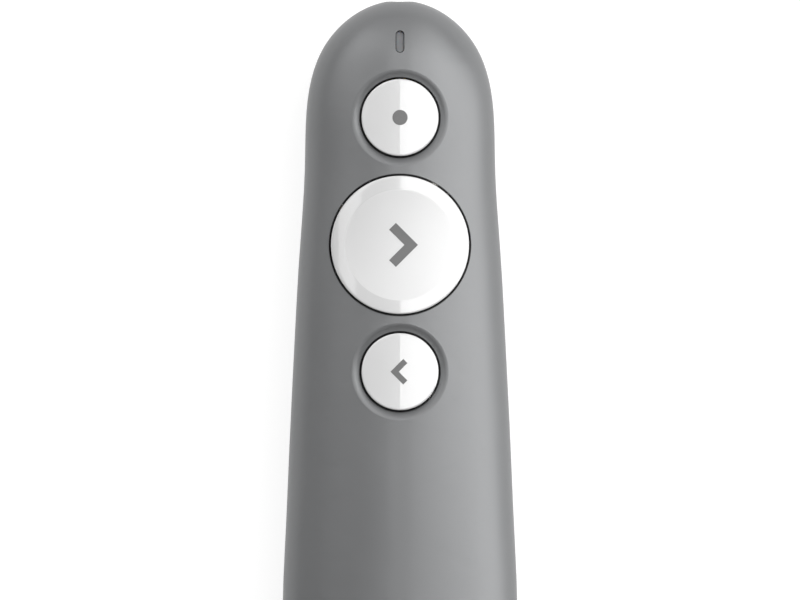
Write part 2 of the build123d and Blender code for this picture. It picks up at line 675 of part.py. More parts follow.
def indicator_led():
    start = BOARD_FRONT + LED_SETBACK
    top = BOARD_TOP_Z + LED_HEIGHT
    return bar(LED_HALF_WIDTH, (start, start + LED_LENGTH), (BOARD_TOP_Z, top))


def light_guide():
    """Clear arm from the board's LED, over the laser, and up into the slot."""
    half = SLOT_WIDTH / 2 - GUIDE_CLEAR
    length = SLOT_LENGTH - 2 * GUIDE_CLEAR
    arm = bar(half, (SLOT_STATION, BOARD_FRONT + LED_SETBACK - GUIDE_CLEAR), (GUIDE_Z, GUIDE_Z + GUIDE_THICK))
    riser = slot(length, 2 * half, (GUIDE_Z, FAR)) & form(GUIDE_SINK)
    return arm + riser


# --- laser -----------------------------------------------------------------------------------
def laser_window():
    return rod(WINDOW_R, (WINDOW_STATION, WINDOW_STATION + WINDOW_THICK))


def laser_barrel():
    barrel = rod(BARREL_R, (BARREL_STATION, BARREL_REAR))
    barrel -= rod(LENS_BORE_R, (BARREL_STATION, BARREL_STATION + LENS_BORE_LENGTH))
    barrel -= rod(CAN_BORE_R, (BARREL_STATION, BARREL_REAR))
    return barrel - rod(DIODE_BORE_R, (BARREL_REAR - DIODE_BORE_LENGTH, BARREL_REAR))


def laser_lens():
    rear = BARREL_STATION + LENS_BORE_LENGTH
    front = rear - LENS_THICK
    glass = rod(LENS_BORE_R - SEAT_CLEAR, (front, rear))
    front_edge = glass.edges().filter_by(GeomType.CIRCLE).sort_by(Axis.Y)[-1]
    return fillet(front_edge, LENS_EDGE_R)


def lens_ring():
    rear = BARREL_STATION + LENS_BORE_LENGTH - LENS_THICK
    span = (rear - LENS_RING_LENGTH, rear)
    ring = rod(LENS_BORE_R - SEAT_CLEAR, span) - rod(LENS_RING_BORE_R, span)
    notch_z = (LASER_Z - RECESS_WIDTH / 2, LASER_Z + RECESS_WIDTH / 2)
    return ring - bar(LENS_BORE_R, (span[0], span[0] + LENS_RING_LENGTH / 2), notch_z)


def laser_diode():
    seat = BARREL_REAR - DIODE_BORE_LENGTH
    rear = seat + DIODE_FLANGE
    diode = rod(DIODE_BORE_R - SEAT_CLEAR, (seat, rear))
    diode += rod(CAN_BORE_R - SEAT_CLEAR, (seat - DIODE_CAN_LENGTH, seat))
    over = LASER_BOARD_THICK / 2 + PIN_R
    for x, z in ((-PIN_SPREAD, over), (PIN_SPREAD, over), (0.0, -over)):
        diode += rod(PIN_R, (rear, rear + PIN_LENGTH), x, LASER_Z + z)
    return diode


def laser_board():
    """Small driver board held between the diode's pins."""
    half = LASER_BOARD_THICK / 2
    along = (BARREL_REAR + STOP_GAP, BARREL_REAR + STOP_GAP + LASER_BOARD_LENGTH)
    return bar(LASER_BOARD_HALF_WIDTH, along, (LASER_Z - half, LASER_Z + half))


def laser_wire(side):
    """Lead from the driver board's rear edge up to the underside of the main board."""
    start = BARREL_REAR + STOP_GAP + LASER_BOARD_LENGTH
    bend = start + LASER_WIRE_RUNS[0]
    end = bend + LASER_WIRE_RUNS[1]
    x = side * LASER_WIRE_X
    points = [(x, y_at(start), LASER_Z), (x, y_at(bend), LASER_Z), (x, y_at(end), BOARD_Z - LASER_WIRE_R)]
    return tube(points, LASER_WIRE_R)


# --- battery and contacts --------------------------------------------------------------------
def battery():
    can = rod(CELL_R, (CELL_FRONT + CELL_NUB_LENGTH, CELL_REAR), z=CELL_Z)
    can = fillet(can.edges().filter_by(GeomType.CIRCLE), CELL_EDGE_R)
    return can + rod(CELL_NUB_R, (CELL_FRONT, CELL_FRONT + CELL_NUB_LENGTH), z=CELL_Z)


def contact_plate(front, tab_top):
    plate_z = (CELL_Z - CONTACT_HALF_WIDTH, CELL_Z + CONTACT_HALF_WIDTH)
    along = (front, front + CONTACT_THICK)
    plate = bar(CONTACT_HALF_WIDTH, along, plate_z)
    plate = fillet(plate.edges().filter_by(Axis.Y), CONTACT_HALF_WIDTH / 4)
    return plate + bar(TAB_HALF_WIDTH, along, (CELL_Z, tab_top))


def positive_contact():
    """Plate with a raised spot for the cell's nub and a tab up to the board."""
    plate = contact_plate(BAY_FRONT, BOARD_Z)
    face = BAY_FRONT + CONTACT_THICK
    raised = Pos(0, y_at(face + CONTACT_DIMPLE / 2), CELL_Z) * Rot(90, 0, 0)
    return plate + raised * Cone(CELL_NUB_R, CELL_NUB_R / 2, CONTACT_DIMPLE)


def negative_contact():
    return contact_plate(BAY_REAR - CONTACT_THICK, BOARD_TOP_Z)


def negative_spring():
    rise = SPRING_LENGTH - 2 * SPRING_WIRE_R - 2 * SEAT_CLEAR
    base = Vector(0, y_at(BAY_REAR - CONTACT_THICK - SPRING_WIRE_R - SEAT_CLEAR), CELL_Z)
    path = Helix(rise / SPRING_TURNS, rise, SPRING_COIL_R, center=base, direction=(0, 1, 0))
    return sweep(Plane(path @ 0, z_dir=path % 0) * Circle(SPRING_WIRE_R), path=path)


def negative_lead():
    """Lead that lies on the trough, from the spring's plate to the board's rear edge."""
    z = (BOARD_Z + BOARD_TOP_Z) / 2
    front = BOARD_REAR
    rear = BAY_REAR - CONTACT_THICK
    span = rear - front
    route = ((0.0, 0.0), (1.6, 0.3), (1.6, 0.7), (0.0, 1.0))
    points = [(x, y_at(rear - share * span), z) for x, share in route]
    return tube(points, BOARD_THICK / 2)


# --- fasteners -------------------------------------------------------------------------------
def screw(x, station, head_z, head_r, shank_r, tip_z):
    """Pan-head screw driven upwards, with a cross recess below."""
    head = post(x, station, head_r, head_z)
    head = fillet(head.edges().sort_by(Axis.Z)[0], (head_z[1] - head_z[0]) / 3)
    shank = post(x, station, shank_r, (head_z[1], tip_z))
    shank = chamfer(shank.edges().sort_by(Axis.Z)[-1], shank_r / 3)
    arm, slit = head_r * 0.6, RECESS_WIDTH / 2
    recess_z = (head_z[0], (head_z[0] + head_z[1]) / 2)
    cross = block((x - arm, x + arm), (station - slit, station + slit), recess_z)
    cross += block((x - slit, x + slit), (station - arm, station + arm), recess_z)
    return head + shank - cross


def board_screws():
    z = (BOARD_Z - BOARD_HEAD_HEIGHT, BOARD_Z)
    tip = BOARD_TOP_Z + BOARD_SCREW_GRIP - THREAD_CLEAR
    return [screw(x, s, z, BOARD_HEAD_R, BOARD_SCREW_R, tip) for x, s in board_screw_places()]


def housing_screws():
    z = (DECK_Z + HEAD_SINK, DECK_Z + HEAD_SINK + HOUSING_HEAD_HEIGHT)
    tip = SPLIT_Z + HOUSING_SCREW_GRIP - THREAD_CLEAR
    return [screw(x, s, z, HOUSING_HEAD_R, HOUSING_SCREW_R, tip) for x, s in housing_screw_places()]


# --- USB receiver ----------------------------------------------------------------------------
def plug_box(half_x, rise, station):
    return bar(half_x, station, (SPLIT_Z - rise, SPLIT_Z + rise))


def receiver_grip():
    """Moulded grip whose end carries on the curve of the tail."""
    grip = plug_box(GRIP_CAP_WIDTH / 2, GRIP_CAP_HEIGHT / 2, (GRIP_CAP_FRONT, RECEIVER_END))
    grip = fillet(grip.edges().filter_by(Axis.Y), GRIP_CAP_EDGE_R)
    grip &= post(0, RECEIVER_END - GRIP_CAP_END_R, GRIP_CAP_END_R, (0, FAR))
    grip = fillet(grip.faces().sort_by(Axis.Y)[0].edges(), GRIP_CAP_EDGE_R / 2)
    root = (GRIP_CAP_FRONT, GRIP_CAP_FRONT + PLUG_ROOT)
    grip -= plug_box(PLUG_WIDTH / 2, PLUG_HEIGHT / 2, root)
    half_x = PLUG_WIDTH / 2 - 2 * PLUG_SHEET
    rise = RECEIVER_BOARD_THICK / 2 + SEAT_CLEAR
    return grip - plug_box(half_x, rise, (root[1], receiver_board_rear()))


def receiver_board_rear():
    return GRIP_CAP_FRONT + PLUG_ROOT + RECEIVER_BOARD_LENGTH / 4


def usb_shell():
    """Folded sheet-metal shell with its two latch windows on each broad side."""
    span = (PLUG_FRONT, GRIP_CAP_FRONT + PLUG_ROOT)
    shell = plug_box(PLUG_WIDTH / 2, PLUG_HEIGHT / 2, span)
    shell = fillet(shell.edges().filter_by(Axis.Y), PLUG_SHEET)
    shell -= plug_box(PLUG_WIDTH / 2 - PLUG_SHEET, PLUG_HEIGHT / 2 - PLUG_SHEET, span)
    middle = PLUG_FRONT + PLUG_LENGTH / 2
    along = (middle - PLUG_WINDOW / 2, middle + PLUG_WINDOW / 2)
    for centre in (-PLUG_WIDTH / 4, PLUG_WIDTH / 4):
        shell -= block((centre - PLUG_WINDOW / 2, centre + PLUG_WINDOW / 2), along, (0, FAR))
    return shell


def usb_tongue():
    half = PLUG_WIDTH / 2 - PLUG_SHEET - SEAT_CLEAR
    low = SPLIT_Z + RECEIVER_BOARD_THICK / 2
    along = (PLUG_FRONT + PLUG_SHEET, GRIP_CAP_FRONT - PLUG_ROOT)
    return bar(half, along, (low, SPLIT_Z + PLUG_HEIGHT / 2 - PLUG_SHEET))


def usb_contacts():
    """Four sprung strips under the plastic tongue."""
    top = SPLIT_Z + RECEIVER_BOARD_THICK / 2
    pieces = []
    for x in (-3.5, -1.0, 1.0, 3.5):
        along = (PLUG_FRONT + 3 * PLUG_SHEET, GRIP_CAP_FRONT - PLUG_ROOT)
        pieces.append(block((x - 0.5, x + 0.5), along, (top - PLUG_SHEET, top)))
    return Compound(children=pieces)


def receiver_board():
    half = PLUG_WIDTH / 2 - 2 * PLUG_SHEET - SEAT_CLEAR
    rear = receiver_board_rear() - SEAT_CLEAR
    return plug_box(half, RECEIVER_BOARD_THICK / 2, (GRIP_CAP_FRONT - PLUG_ROOT, rear))


# --- all sub-parts ---------------------------------------------------------------------------
def sub_parts():
    parts = {
        "top_cover": top_cover(),
        "bottom_cover": bottom_cover(),
        "battery_door": battery_door(),
        "main_board": main_board(),
        "mcu_chip": mcu_chip(),
        "crystal": crystal(),
        "antenna_chip": antenna_chip(),
        "board_passives": board_passives(),
        "indicator_led": indicator_led(),
        "light_guide": light_guide(),
        "laser_window": laser_window(),
        "laser_barrel": laser_barrel(),
        "laser_lens": laser_lens(),
        "lens_ring": lens_ring(),
        "laser_diode": laser_diode(),
        "laser_board": laser_board(),
        "laser_wire_red": laser_wire(1),
        "laser_wire_black": laser_wire(-1),
        "battery": battery(),
        "positive_contact": positive_contact(),
        "negative_contact": negative_contact(),
        "negative_spring": negative_spring(),
        "negative_lead": negative_lead(),
        "board_screws": Compound(children=board_screws()),
        "housing_screws": Compound(children=housing_screws()),
        "receiver_grip": receiver_grip(),
        "usb_shell": usb_shell(),
        "usb_tongue": usb_tongue(),
        "usb_contacts": usb_contacts(),
        "receiver_board": receiver_board(),
    }
    for name in BUTTONS:
        parts[f"{name}_button_cap"] = button_cap(name)
        parts[f"{name}_button_carrier"] = button_carrier(name)
        parts[f"{name}_switch"] = switch_body(name)
        parts[f"{name}_switch_plunger"] = switch_plunger(name)
    return parts


os.makedirs("parts", exist_ok=True)
for node, shape in sub_parts().items():
    export_step(shape, f"parts/{node}.step")
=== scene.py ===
import math

import bmesh
import bpy
import numpy
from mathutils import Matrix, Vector
from mathutils.bvhtree import BVHTree


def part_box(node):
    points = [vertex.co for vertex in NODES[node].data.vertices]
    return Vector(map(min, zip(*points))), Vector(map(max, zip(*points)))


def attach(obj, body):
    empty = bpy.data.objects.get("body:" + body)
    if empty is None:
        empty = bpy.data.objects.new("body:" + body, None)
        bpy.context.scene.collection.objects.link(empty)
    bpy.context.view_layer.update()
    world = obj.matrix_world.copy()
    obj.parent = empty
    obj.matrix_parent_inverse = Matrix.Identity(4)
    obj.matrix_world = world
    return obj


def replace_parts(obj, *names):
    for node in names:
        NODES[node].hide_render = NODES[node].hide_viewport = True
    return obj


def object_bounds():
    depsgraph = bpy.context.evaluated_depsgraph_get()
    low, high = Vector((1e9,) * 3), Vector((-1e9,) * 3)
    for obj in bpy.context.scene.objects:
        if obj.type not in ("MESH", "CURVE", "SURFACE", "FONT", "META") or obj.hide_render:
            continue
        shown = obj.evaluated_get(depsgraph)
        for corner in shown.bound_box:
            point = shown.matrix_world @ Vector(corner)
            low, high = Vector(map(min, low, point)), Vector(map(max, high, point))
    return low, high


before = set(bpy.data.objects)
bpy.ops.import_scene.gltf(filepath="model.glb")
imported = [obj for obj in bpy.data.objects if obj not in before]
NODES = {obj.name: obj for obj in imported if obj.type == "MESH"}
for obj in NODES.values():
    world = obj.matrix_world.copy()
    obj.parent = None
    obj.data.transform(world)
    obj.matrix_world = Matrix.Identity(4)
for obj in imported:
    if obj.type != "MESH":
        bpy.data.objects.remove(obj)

# A presentation clicker lying on its back. Metres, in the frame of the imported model:
# X runs across, +Y towards the laser nose, +Z up through the button face, the desk is z = 0.

MM = 0.001
CAD_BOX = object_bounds()
BUTTONS = ("laser", "next", "back")
SHARP = math.radians(32)         # an edge that turns by more than this is kept crisp

# kinds of node that the finishes and the trees use again and again
MATH = "ShaderNodeMath"
VECTOR = "ShaderNodeVectorMath"
RANGE = "ShaderNodeMapRange"

# --- camera and light --------------------------------------------------------------------------
VIEW_WIDTH = 128.8 * MM          # what the picture shows across, at the height of the parting plane
VIEW_CENTRE_Y = 14.0 * MM
PARTING_Z = 11.0 * MM
LENS = 500.0
SENSOR = 36.0
PANEL_DISTANCE = 1.3
# name, azimuth from +X towards +Y, height above the desk, breadth, length towards the zenith,
# radiance, and how far it stands aside, level with the desk. The angles are in degrees.
PANELS = (
    ("overhead_panel", 0, 68, 34, 43.5, 3.25, 9),
    ("right_panel", 0, 23.5, 38, 43, 3.5, 0),
    ("nose_right_panel", 42, 40, 40, 40, 1.5, 0),
    ("nose_panel", 95, 30, 90, 48, 0.7, 0),
    ("nose_left_panel", 143, 42, 42, 50, 1.6, 0),
    ("left_panel", 180, 17, 34, 22, 0.6, 0),
)
ROOM_LIGHT = 0.05
DESK_HALF = 3.0
DESK_LIFT = 0.82                 # what lifts the lit desk to white where the camera sees it

# --- signs printed on the caps -----------------------------------------------------------------
INK_PROUD = 0.02 * MM            # the ink film stands this far off what it is printed on
INK_THICK = 0.04 * MM
INK_STEP = 0.18 * MM             # mesh step of a printed sign
DOT_R = 1.22 * MM
NEXT_ARM = 5.0 * MM              # outer length of a chevron's arm, and the width of its stroke
NEXT_STROKE = 1.54 * MM
NEXT_TIP_X = 2.88 * MM
BACK_ARM = 2.9 * MM
BACK_STROKE = 0.94 * MM
BACK_TIP_X = -1.53 * MM

# --- big cap -----------------------------------------------------------------------------------
DISH_R = 8.9 * MM
DISH_DEPTH = 0.5 * MM
DISH_ROUND = 0.3 * MM            # half the width over which the dish turns into the ring
CAP_WALL = 1.4 * MM
LEVEL = -1.0                     # height in the cap's profile that stands for its level lower rim
CAP_EDGE = 0.25 * MM             # radius of the edge round the crown
CROWN_RAYS = 72                  # places round a ring at which the crown's height is taken
RAYS_OFF_DISH = 0.9 * MM         # those rings keep this far off the dish and off the rim
RAYS_OFF_RIM = 0.4 * MM

# --- paint -------------------------------------------------------------------------------------
PEARL = 0.5                      # share of the light that the paint's pigment throws back as metal does
SHADED_WELL_GAP = 0.36 * MM             # reach of the painted shade in each well: from a cap's edge to just past the wall of its well
SHADED_WELLS_Z = PARTING_Z + 2 * MM     # the painted shade in the wells is above this height
RIDGE_BAND = 2.5 * MM            # half the strip on the centre line over which the sheen is evened
RIDGE_UPRIGHT = 0.8              # least upward part of a normal that belongs to the crown

# --- battery -----------------------------------------------------------------------------------
CELL_R = 5.25 * MM
CELL_SIGN_ARM = 2.2 * MM         # plus and minus on the jacket, and the width of their strokes
CELL_SIGN_STROKE = 0.7 * MM
CELL_SIGN_STEP = 0.3 * MM
CELL_MINUS_IN = 5 * MM           # from the cell's flat end to the middle of its minus
CELL_BAND = (2.4 * MM, 6.2 * MM)     # pale ring printed on the jacket, from the nub's end
BAY_SIGN_ARM = 3.0 * MM          # plus and minus printed on the deck beside the battery
BAY_SIGN_STROKE = 0.6 * MM
BAY_SIGN_X = 9.6 * MM
BAY_SIGN_IN = 6 * MM             # from the battery's ends to the middles of the signs on the deck
DECK_Z = 5.2 * MM                # underside of the deck

# --- fasteners: head radius, core and thread radius, pitch, cross recess -------------------------
HOUSING_SCREW = {"head_r": 1.9 * MM, "core_r": 0.72 * MM, "thread_r": 1.0 * MM, "pitch": 0.8 * MM,
                 "recess": 1.15 * MM}
BOARD_SCREW = {"head_r": 1.4 * MM, "core_r": 0.5 * MM, "thread_r": 0.7 * MM, "pitch": 0.55 * MM,
               "recess": 0.85 * MM}
RECESS_WIDTH = 0.42 * MM
RECESS_DEPTH = 0.62              # share of the head's height
RECESS_FLOOR = (0.45, 0.8)       # share of the recess's reach and width that is left at its floor
HEAD_HEIGHT = 0.73               # share of the head's radius
THREAD_DEPTH = 0.8               # share of what the thread stands off the core

# --- board and solder --------------------------------------------------------------------------
TRACE_BUNDLE = 4.5 * MM          # size of a field of parallel traces, and their pitch in it
TRACE_PITCH = 0.6 * MM
SCREW_PAD_R = 1.75 * MM
SWITCH_PLATE = 0.18 * MM         # thickness of the steel plate on a switch
PASSIVE_PITCH = 1.7 * MM         # pitch of the small chips' rows, and length of one chip
PASSIVE_LENGTH = 1.1 * MM
PASSIVE_BARE = 0.3 * MM          # from a small chip's middle to its tinned ends
ANTENNA_END = 0.5 * MM           # length of the antenna's tinned ends
DIMPLE_IN = 0.7 * MM             # from the processor's sides to the middle of its dimple, and its radius
DIMPLE_R = 0.25 * MM
JOINT_HEIGHT = 0.16 * MM
# node, its joints, the size of one, columns, rows, and how far the outer joints' middles stand
# past the node's box across and along
JOINTS = (
    ("laser_switch", "laser_switch_joints", (0.9 * MM, 0.8 * MM), 2, 2, 0.72 * MM, -1.4 * MM),
    ("next_switch", "next_switch_joints", (0.9 * MM, 0.8 * MM), 2, 2, 0.72 * MM, -1.4 * MM),
    ("back_switch", "back_switch_joints", (0.9 * MM, 0.8 * MM), 2, 2, 0.72 * MM, -1.4 * MM),
    ("mcu_chip", "processor_side_joints", (0.35 * MM, 0.24 * MM), 2, 6, 0.1 * MM, -1.2 * MM),
    ("mcu_chip", "processor_end_joints", (0.24 * MM, 0.35 * MM), 6, 2, -1.2 * MM, 0.1 * MM),
    ("crystal", "crystal_joints", (0.8 * MM, 0.7 * MM), 2, 2, -0.1 * MM, 0.1 * MM),
    ("antenna_chip", "antenna_joints", (0.6 * MM, 1.6 * MM), 2, 1, 0.3 * MM, 0.0),
)


# --- node trees --------------------------------------------------------------------------------
def linear(hex_colour):
    """RGBA in linear light from an sRGB hex colour."""
    channels = [int(hex_colour[i:i + 2], 16) / 255 for i in (1, 3, 5)]
    return tuple(c / 12.92 if c <= 0.04045 else ((c + 0.055) / 1.055) ** 2.4 for c in channels) + (1.0,)


def add(tree, kind, inputs=None, **settings):
    """Adds a node with its settings; an input is a value, a socket or a node's first output."""
    made = tree.nodes.new(kind)
    for name, value in settings.items():
        setattr(made, name, value)
    for name, value in (inputs or {}).items():
        if isinstance(value, bpy.types.Node):
            value = value.outputs[0]
        if isinstance(value, bpy.types.NodeSocket):
            tree.links.new(value, made.inputs[name])
        else:
            made.inputs[name].default_value = value
    return made


def finish(name, **surface):
    """New material; values that are the same all over go on the shader's own sockets."""
    made = bpy.data.materials.new(name)
    made.use_nodes = True
    shader = made.node_tree.nodes["Principled BSDF"]
    for socket, value in surface.items():
        shader.inputs[socket.replace("_", " ")].default_value = value
    return made, made.node_tree, shader


def place(tree):
    """Object coordinates, whole and as their three numbers."""
    whole = add(tree, "ShaderNodeTexCoord").outputs["Object"]
    return whole, add(tree, "ShaderNodeSeparateXYZ", {0: whole}).outputs


def mottle(tree, shader, dark, light, size, rough, grain, depth, stretch=(1, 1, 1)):
    """Colour and roughness that drift over the surface, and a fine grain in its relief.

    size and grain are the real sizes of the patches and of the grain, depth its height, and
    stretch draws both out along an axis. Returns the colour, for a pattern laid over it.
    """
    drawn = add(tree, VECTOR, {0: place(tree)[0], 1: [1 / s for s in stretch]}, operation="MULTIPLY")
    patches = add(tree, "ShaderNodeTexNoise", {"Vector": drawn, "Scale": 1 / size, "Detail": 3.0})
    colour = add(tree, "ShaderNodeMix", {0: patches, 6: linear(dark), 7: linear(light)}, data_type="RGBA")
    tree.links.new(colour.outputs[2], shader.inputs["Base Color"])
    drift = add(tree, RANGE, {"Value": patches, "To Min": rough[0], "To Max": rough[1]})
    tree.links.new(drift.outputs["Result"], shader.inputs["Roughness"])
    grains = add(tree, "ShaderNodeTexNoise", {"Vector": drawn, "Scale": 1 / grain, "Detail": 2.0})
    relief = add(tree, "ShaderNodeBump", {"Height": grains, "Strength": 1.0, "Distance": depth})
    tree.links.new(relief.outputs["Normal"], shader.inputs["Normal"])
    return colour.outputs[2]


def lay_over(tree, shader, mask, colour, other, metal=False):
    """Covers the colour by another where the mask is 1, as bare metal if asked, and returns it."""
    both = add(tree, "ShaderNodeMix", {0: mask, 6: colour, 7: linear(other)}, data_type="RGBA")
    tree.links.new(both.outputs[2], shader.inputs["Base Color"])
    if metal:
        tree.links.new(mask.outputs[0], shader.inputs["Metallic"])
    return both.outputs[2]


def round_spot(tree, point, x, y, radius):
    """Mask that is 1 within a radius of the upright line through x and y."""
    flat = add(tree, VECTOR, {0: point, 1: (1, 1, 0)}, operation="MULTIPLY")
    away = add(tree, VECTOR, {0: flat, 1: (x, y, 0)}, operation="DISTANCE").outputs["Value"]
    return add(tree, MATH, {0: away, 1: radius}, operation="LESS_THAN")


# --- finishes ----------------------------------------------------------------------------------
def satin_grey_paint():
    """Satin grey paint with a fine pearl pigment; near-black without the pearl on the walls of the button
    wells, as painted shade for the gaps round the caps.
    """
    made, tree, shader = finish("satin_grey_paint", IOR=1.5)
    whole, xyz = place(tree)
    colour = mottle(tree, shader, "#797a7b", "#7d7e7f", 9 * MM, (0.42, 0.46), 0.22 * MM, 0.003 * MM)
    well_shade = 0.0
    for button in BUTTONS:
        low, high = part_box(f"{button}_button_cap")
        mouth_r = (high.x - low.x) / 2 + SHADED_WELL_GAP
        shaded_well = round_spot(tree, whole, (low.x + high.x) / 2, (low.y + high.y) / 2, mouth_r)
        well_shade = add(tree, MATH, {0: well_shade, 1: shaded_well}, operation="MAXIMUM")
    upper = add(tree, MATH, {0: xyz["Z"], 1: SHADED_WELLS_Z}, operation="GREATER_THAN")
    well_shade = add(tree, MATH, {0: well_shade, 1: upper}, operation="MULTIPLY")
    # painted shade: the walls of the wells round the caps turn near-black and lose the pearl, standing in for
    # the shadow in the gaps
    lay_over(tree, shader, well_shade, colour, "#1d1d1e")
    pearl = add(tree, RANGE, {"Value": well_shade, "To Min": PEARL, "To Max": 0.0})
    tree.links.new(pearl.outputs["Result"], shader.inputs["Metallic"])
    level_ridge(tree, shader, xyz["X"])
    return made


def level_ridge(tree, shader, x):
    """Turns the paint's normal upright at the ridge, where the cover's two mirrored halves meet."""
    bare = add(tree, "ShaderNodeNewGeometry").outputs["Normal"]
    normal = add(tree, "ShaderNodeSeparateXYZ", {0: bare}).outputs
    from_ridge = add(tree, MATH, {0: x}, operation="ABSOLUTE")
    away = add(tree, RANGE, {"Value": from_ridge, "From Max": RIDGE_BAND}, interpolation_type="SMOOTHSTEP")
    upright = add(tree, MATH, {0: normal["Z"]}, operation="ABSOLUTE")
    steep = add(tree, MATH, {0: upright, 1: RIDGE_UPRIGHT}, operation="LESS_THAN")
    share = add(tree, MATH, {0: away, 1: steep}, operation="MAXIMUM")
    kept = add(tree, MATH, {0: normal["X"], 1: share}, operation="MULTIPLY")
    level = add(tree, "ShaderNodeCombineXYZ", {"X": kept, "Y": normal["Y"], "Z": normal["Z"]})
    unit = add(tree, VECTOR, {0: level}, operation="NORMALIZE")
    relief = shader.inputs["Normal"].links[0].from_node
    tree.links.new(unit.outputs[0], relief.inputs["Normal"])


def white_abs(name, rough, lacquer_rough):
    """Injection-moulded ABS, clean white under a hard clear lacquer."""
    made, tree, shader = finish(name, IOR=1.53, Coat_Weight=1.0, Coat_IOR=1.6, Coat_Roughness=lacquer_rough)
    mottle(tree, shader, "#d6d6d6", "#d9d9d9", 6 * MM, rough, 0.6 * MM, 0.0002 * MM)
    return made


def gloss_white_abs():
    """The white of the caps, from a polished tool, so a lamp's edge shows crisply in it."""
    return white_abs("gloss_white_abs", (0.20, 0.24), 0.05)


def satin_white_abs():
    """The same white where the tool was blasted, in the thumb dish, so a lamp's edge spreads in it."""
    return white_abs("satin_white_abs", (0.34, 0.38), 0.32)


def printed_ink(name, dark, light):
    """Pad-printed epoxy ink, duller than what it is printed on."""
    made, tree, shader = finish(name, IOR=1.5)
    mottle(tree, shader, dark, light, 0.8 * MM, (0.45, 0.55), 0.08 * MM, 0.001 * MM)
    return made


def black_acetal():
    """Moulded black acetal, slightly waxy, with a fine tool grain."""
    made, tree, shader = finish("black_acetal", IOR=1.48)
    mottle(tree, shader, "#171718", "#202021", 3 * MM, (0.38, 0.5), 0.1 * MM, 0.004 * MM)
    return made


def grained_grip_abs():
    """Charcoal ABS with a spark-eroded grain for the fingertips."""
    made, tree, shader = finish("grained_grip_abs", IOR=1.53)
    mottle(tree, shader, "#2c2c2d", "#343435", 4 * MM, (0.45, 0.58), 0.14 * MM, 0.012 * MM)
    return made


def switch_nylon():
    """Glass-filled black nylon under a punched steel top plate."""
    made, tree, shader = finish("switch_nylon", IOR=1.53)
    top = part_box("next_switch")[1].z
    colour = mottle(tree, shader, "#161617", "#1f1f20", 1.2 * MM, (0.34, 0.48), 0.06 * MM, 0.002 * MM)
    plate = add(tree, MATH, {0: place(tree)[1]["Z"], 1: top - SWITCH_PLATE}, operation="GREATER_THAN")
    lay_over(tree, shader, plate, colour, "#c4c3bf", metal=True)
    return made


def pale_nylon():
    """Unfilled natural nylon of a switch plunger, ivory and slightly cloudy."""
    made, tree, shader = finish("pale_nylon", IOR=1.53, Subsurface_Weight=0.1, Subsurface_Scale=0.3 * MM)
    mottle(tree, shader, "#d8d2c0", "#e2dccb", 0.7 * MM, (0.32, 0.42), 0.08 * MM, 0.002 * MM)
    return made


def solder_mask():
    """Black solder mask over copper: traces stand a shade lighter, vias are covered, screw pads tinned."""
    made, tree, shader = finish("solder_mask", IOR=1.55)
    whole, xyz = place(tree)
    colour = mottle(tree, shader, "#121413", "#171918", 6 * MM, (0.3, 0.4), 0.3 * MM, 0.004 * MM)
    fields = add(tree, "ShaderNodeTexVoronoi", {"Vector": whole, "Scale": 1 / TRACE_BUNDLE},
                 distance="CHEBYCHEV")
    pick = add(tree, "ShaderNodeSeparateColor", {0: fields.outputs["Color"]})
    traces = 0.0
    for axis, side, share in (("X", "LESS_THAN", 0.35), ("Y", "GREATER_THAN", 0.7)):
        pitches = add(tree, MATH, {0: xyz[axis], 1: TRACE_PITCH}, operation="DIVIDE")
        within = add(tree, MATH, {0: pitches}, operation="FRACT")
        stripes = add(tree, MATH, {0: within, 1: 0.5}, operation="GREATER_THAN")
        field = add(tree, MATH, {0: pick, 1: share}, operation=side)
        bundle = add(tree, MATH, {0: field, 1: stripes}, operation="MULTIPLY")
        traces = add(tree, MATH, {0: traces, 1: bundle}, operation="MAXIMUM")
    colour = lay_over(tree, shader, traces, colour, "#222524")
    low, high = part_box("board_screws")
    reach = [(high[i] - low[i]) / 2 - BOARD_SCREW["head_r"] for i in (0, 1)]
    centred = add(tree, VECTOR, {0: whole, 1: (0, (low.y + high.y) / 2, 0)}, operation="SUBTRACT")
    quarter = add(tree, VECTOR, {0: centred}, operation="ABSOLUTE")
    pads = round_spot(tree, quarter, *reach, SCREW_PAD_R)
    lay_over(tree, shader, pads, colour, "#cfcdc6", metal=True)
    return made


def chip_epoxy():
    """Transfer-moulded black epoxy, matt, with the round dimple that marks its first contact."""
    made, tree, shader = finish("chip_epoxy", IOR=1.55)
    low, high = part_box("mcu_chip")
    colour = mottle(tree, shader, "#19191a", "#222223", 1.5 * MM, (0.5, 0.62), 0.05 * MM, 0.003 * MM)
    dimple = round_spot(tree, place(tree)[0], low.x + DIMPLE_IN, high.y - DIMPLE_IN, DIMPLE_R)
    lay_over(tree, shader, dimple, colour, "#3a3a3b")
    return made


def passive_ceramic():
    """Fired ceramic chips, tan, with tinned ends that wrap round."""
    made, tree, shader = finish("passive_ceramic", IOR=1.6)
    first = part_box("board_passives")[0].y
    colour = mottle(tree, shader, "#a98f66", "#c0a67b", 0.9 * MM, (0.4, 0.55), 0.05 * MM, 0.002 * MM)
    along = add(tree, MATH, {0: place(tree)[1]["Y"], 1: first}, operation="SUBTRACT")
    within = add(tree, MATH, {0: along, 1: PASSIVE_PITCH}, operation="FLOORED_MODULO")
    offset = add(tree, MATH, {0: within, 1: PASSIVE_LENGTH / 2}, operation="SUBTRACT")
    from_middle = add(tree, MATH, {0: offset}, operation="ABSOLUTE")
    ends = add(tree, MATH, {0: from_middle, 1: PASSIVE_BARE}, operation="GREATER_THAN")
    lay_over(tree, shader, ends, colour, "#cfcdc6", metal=True)
    return made


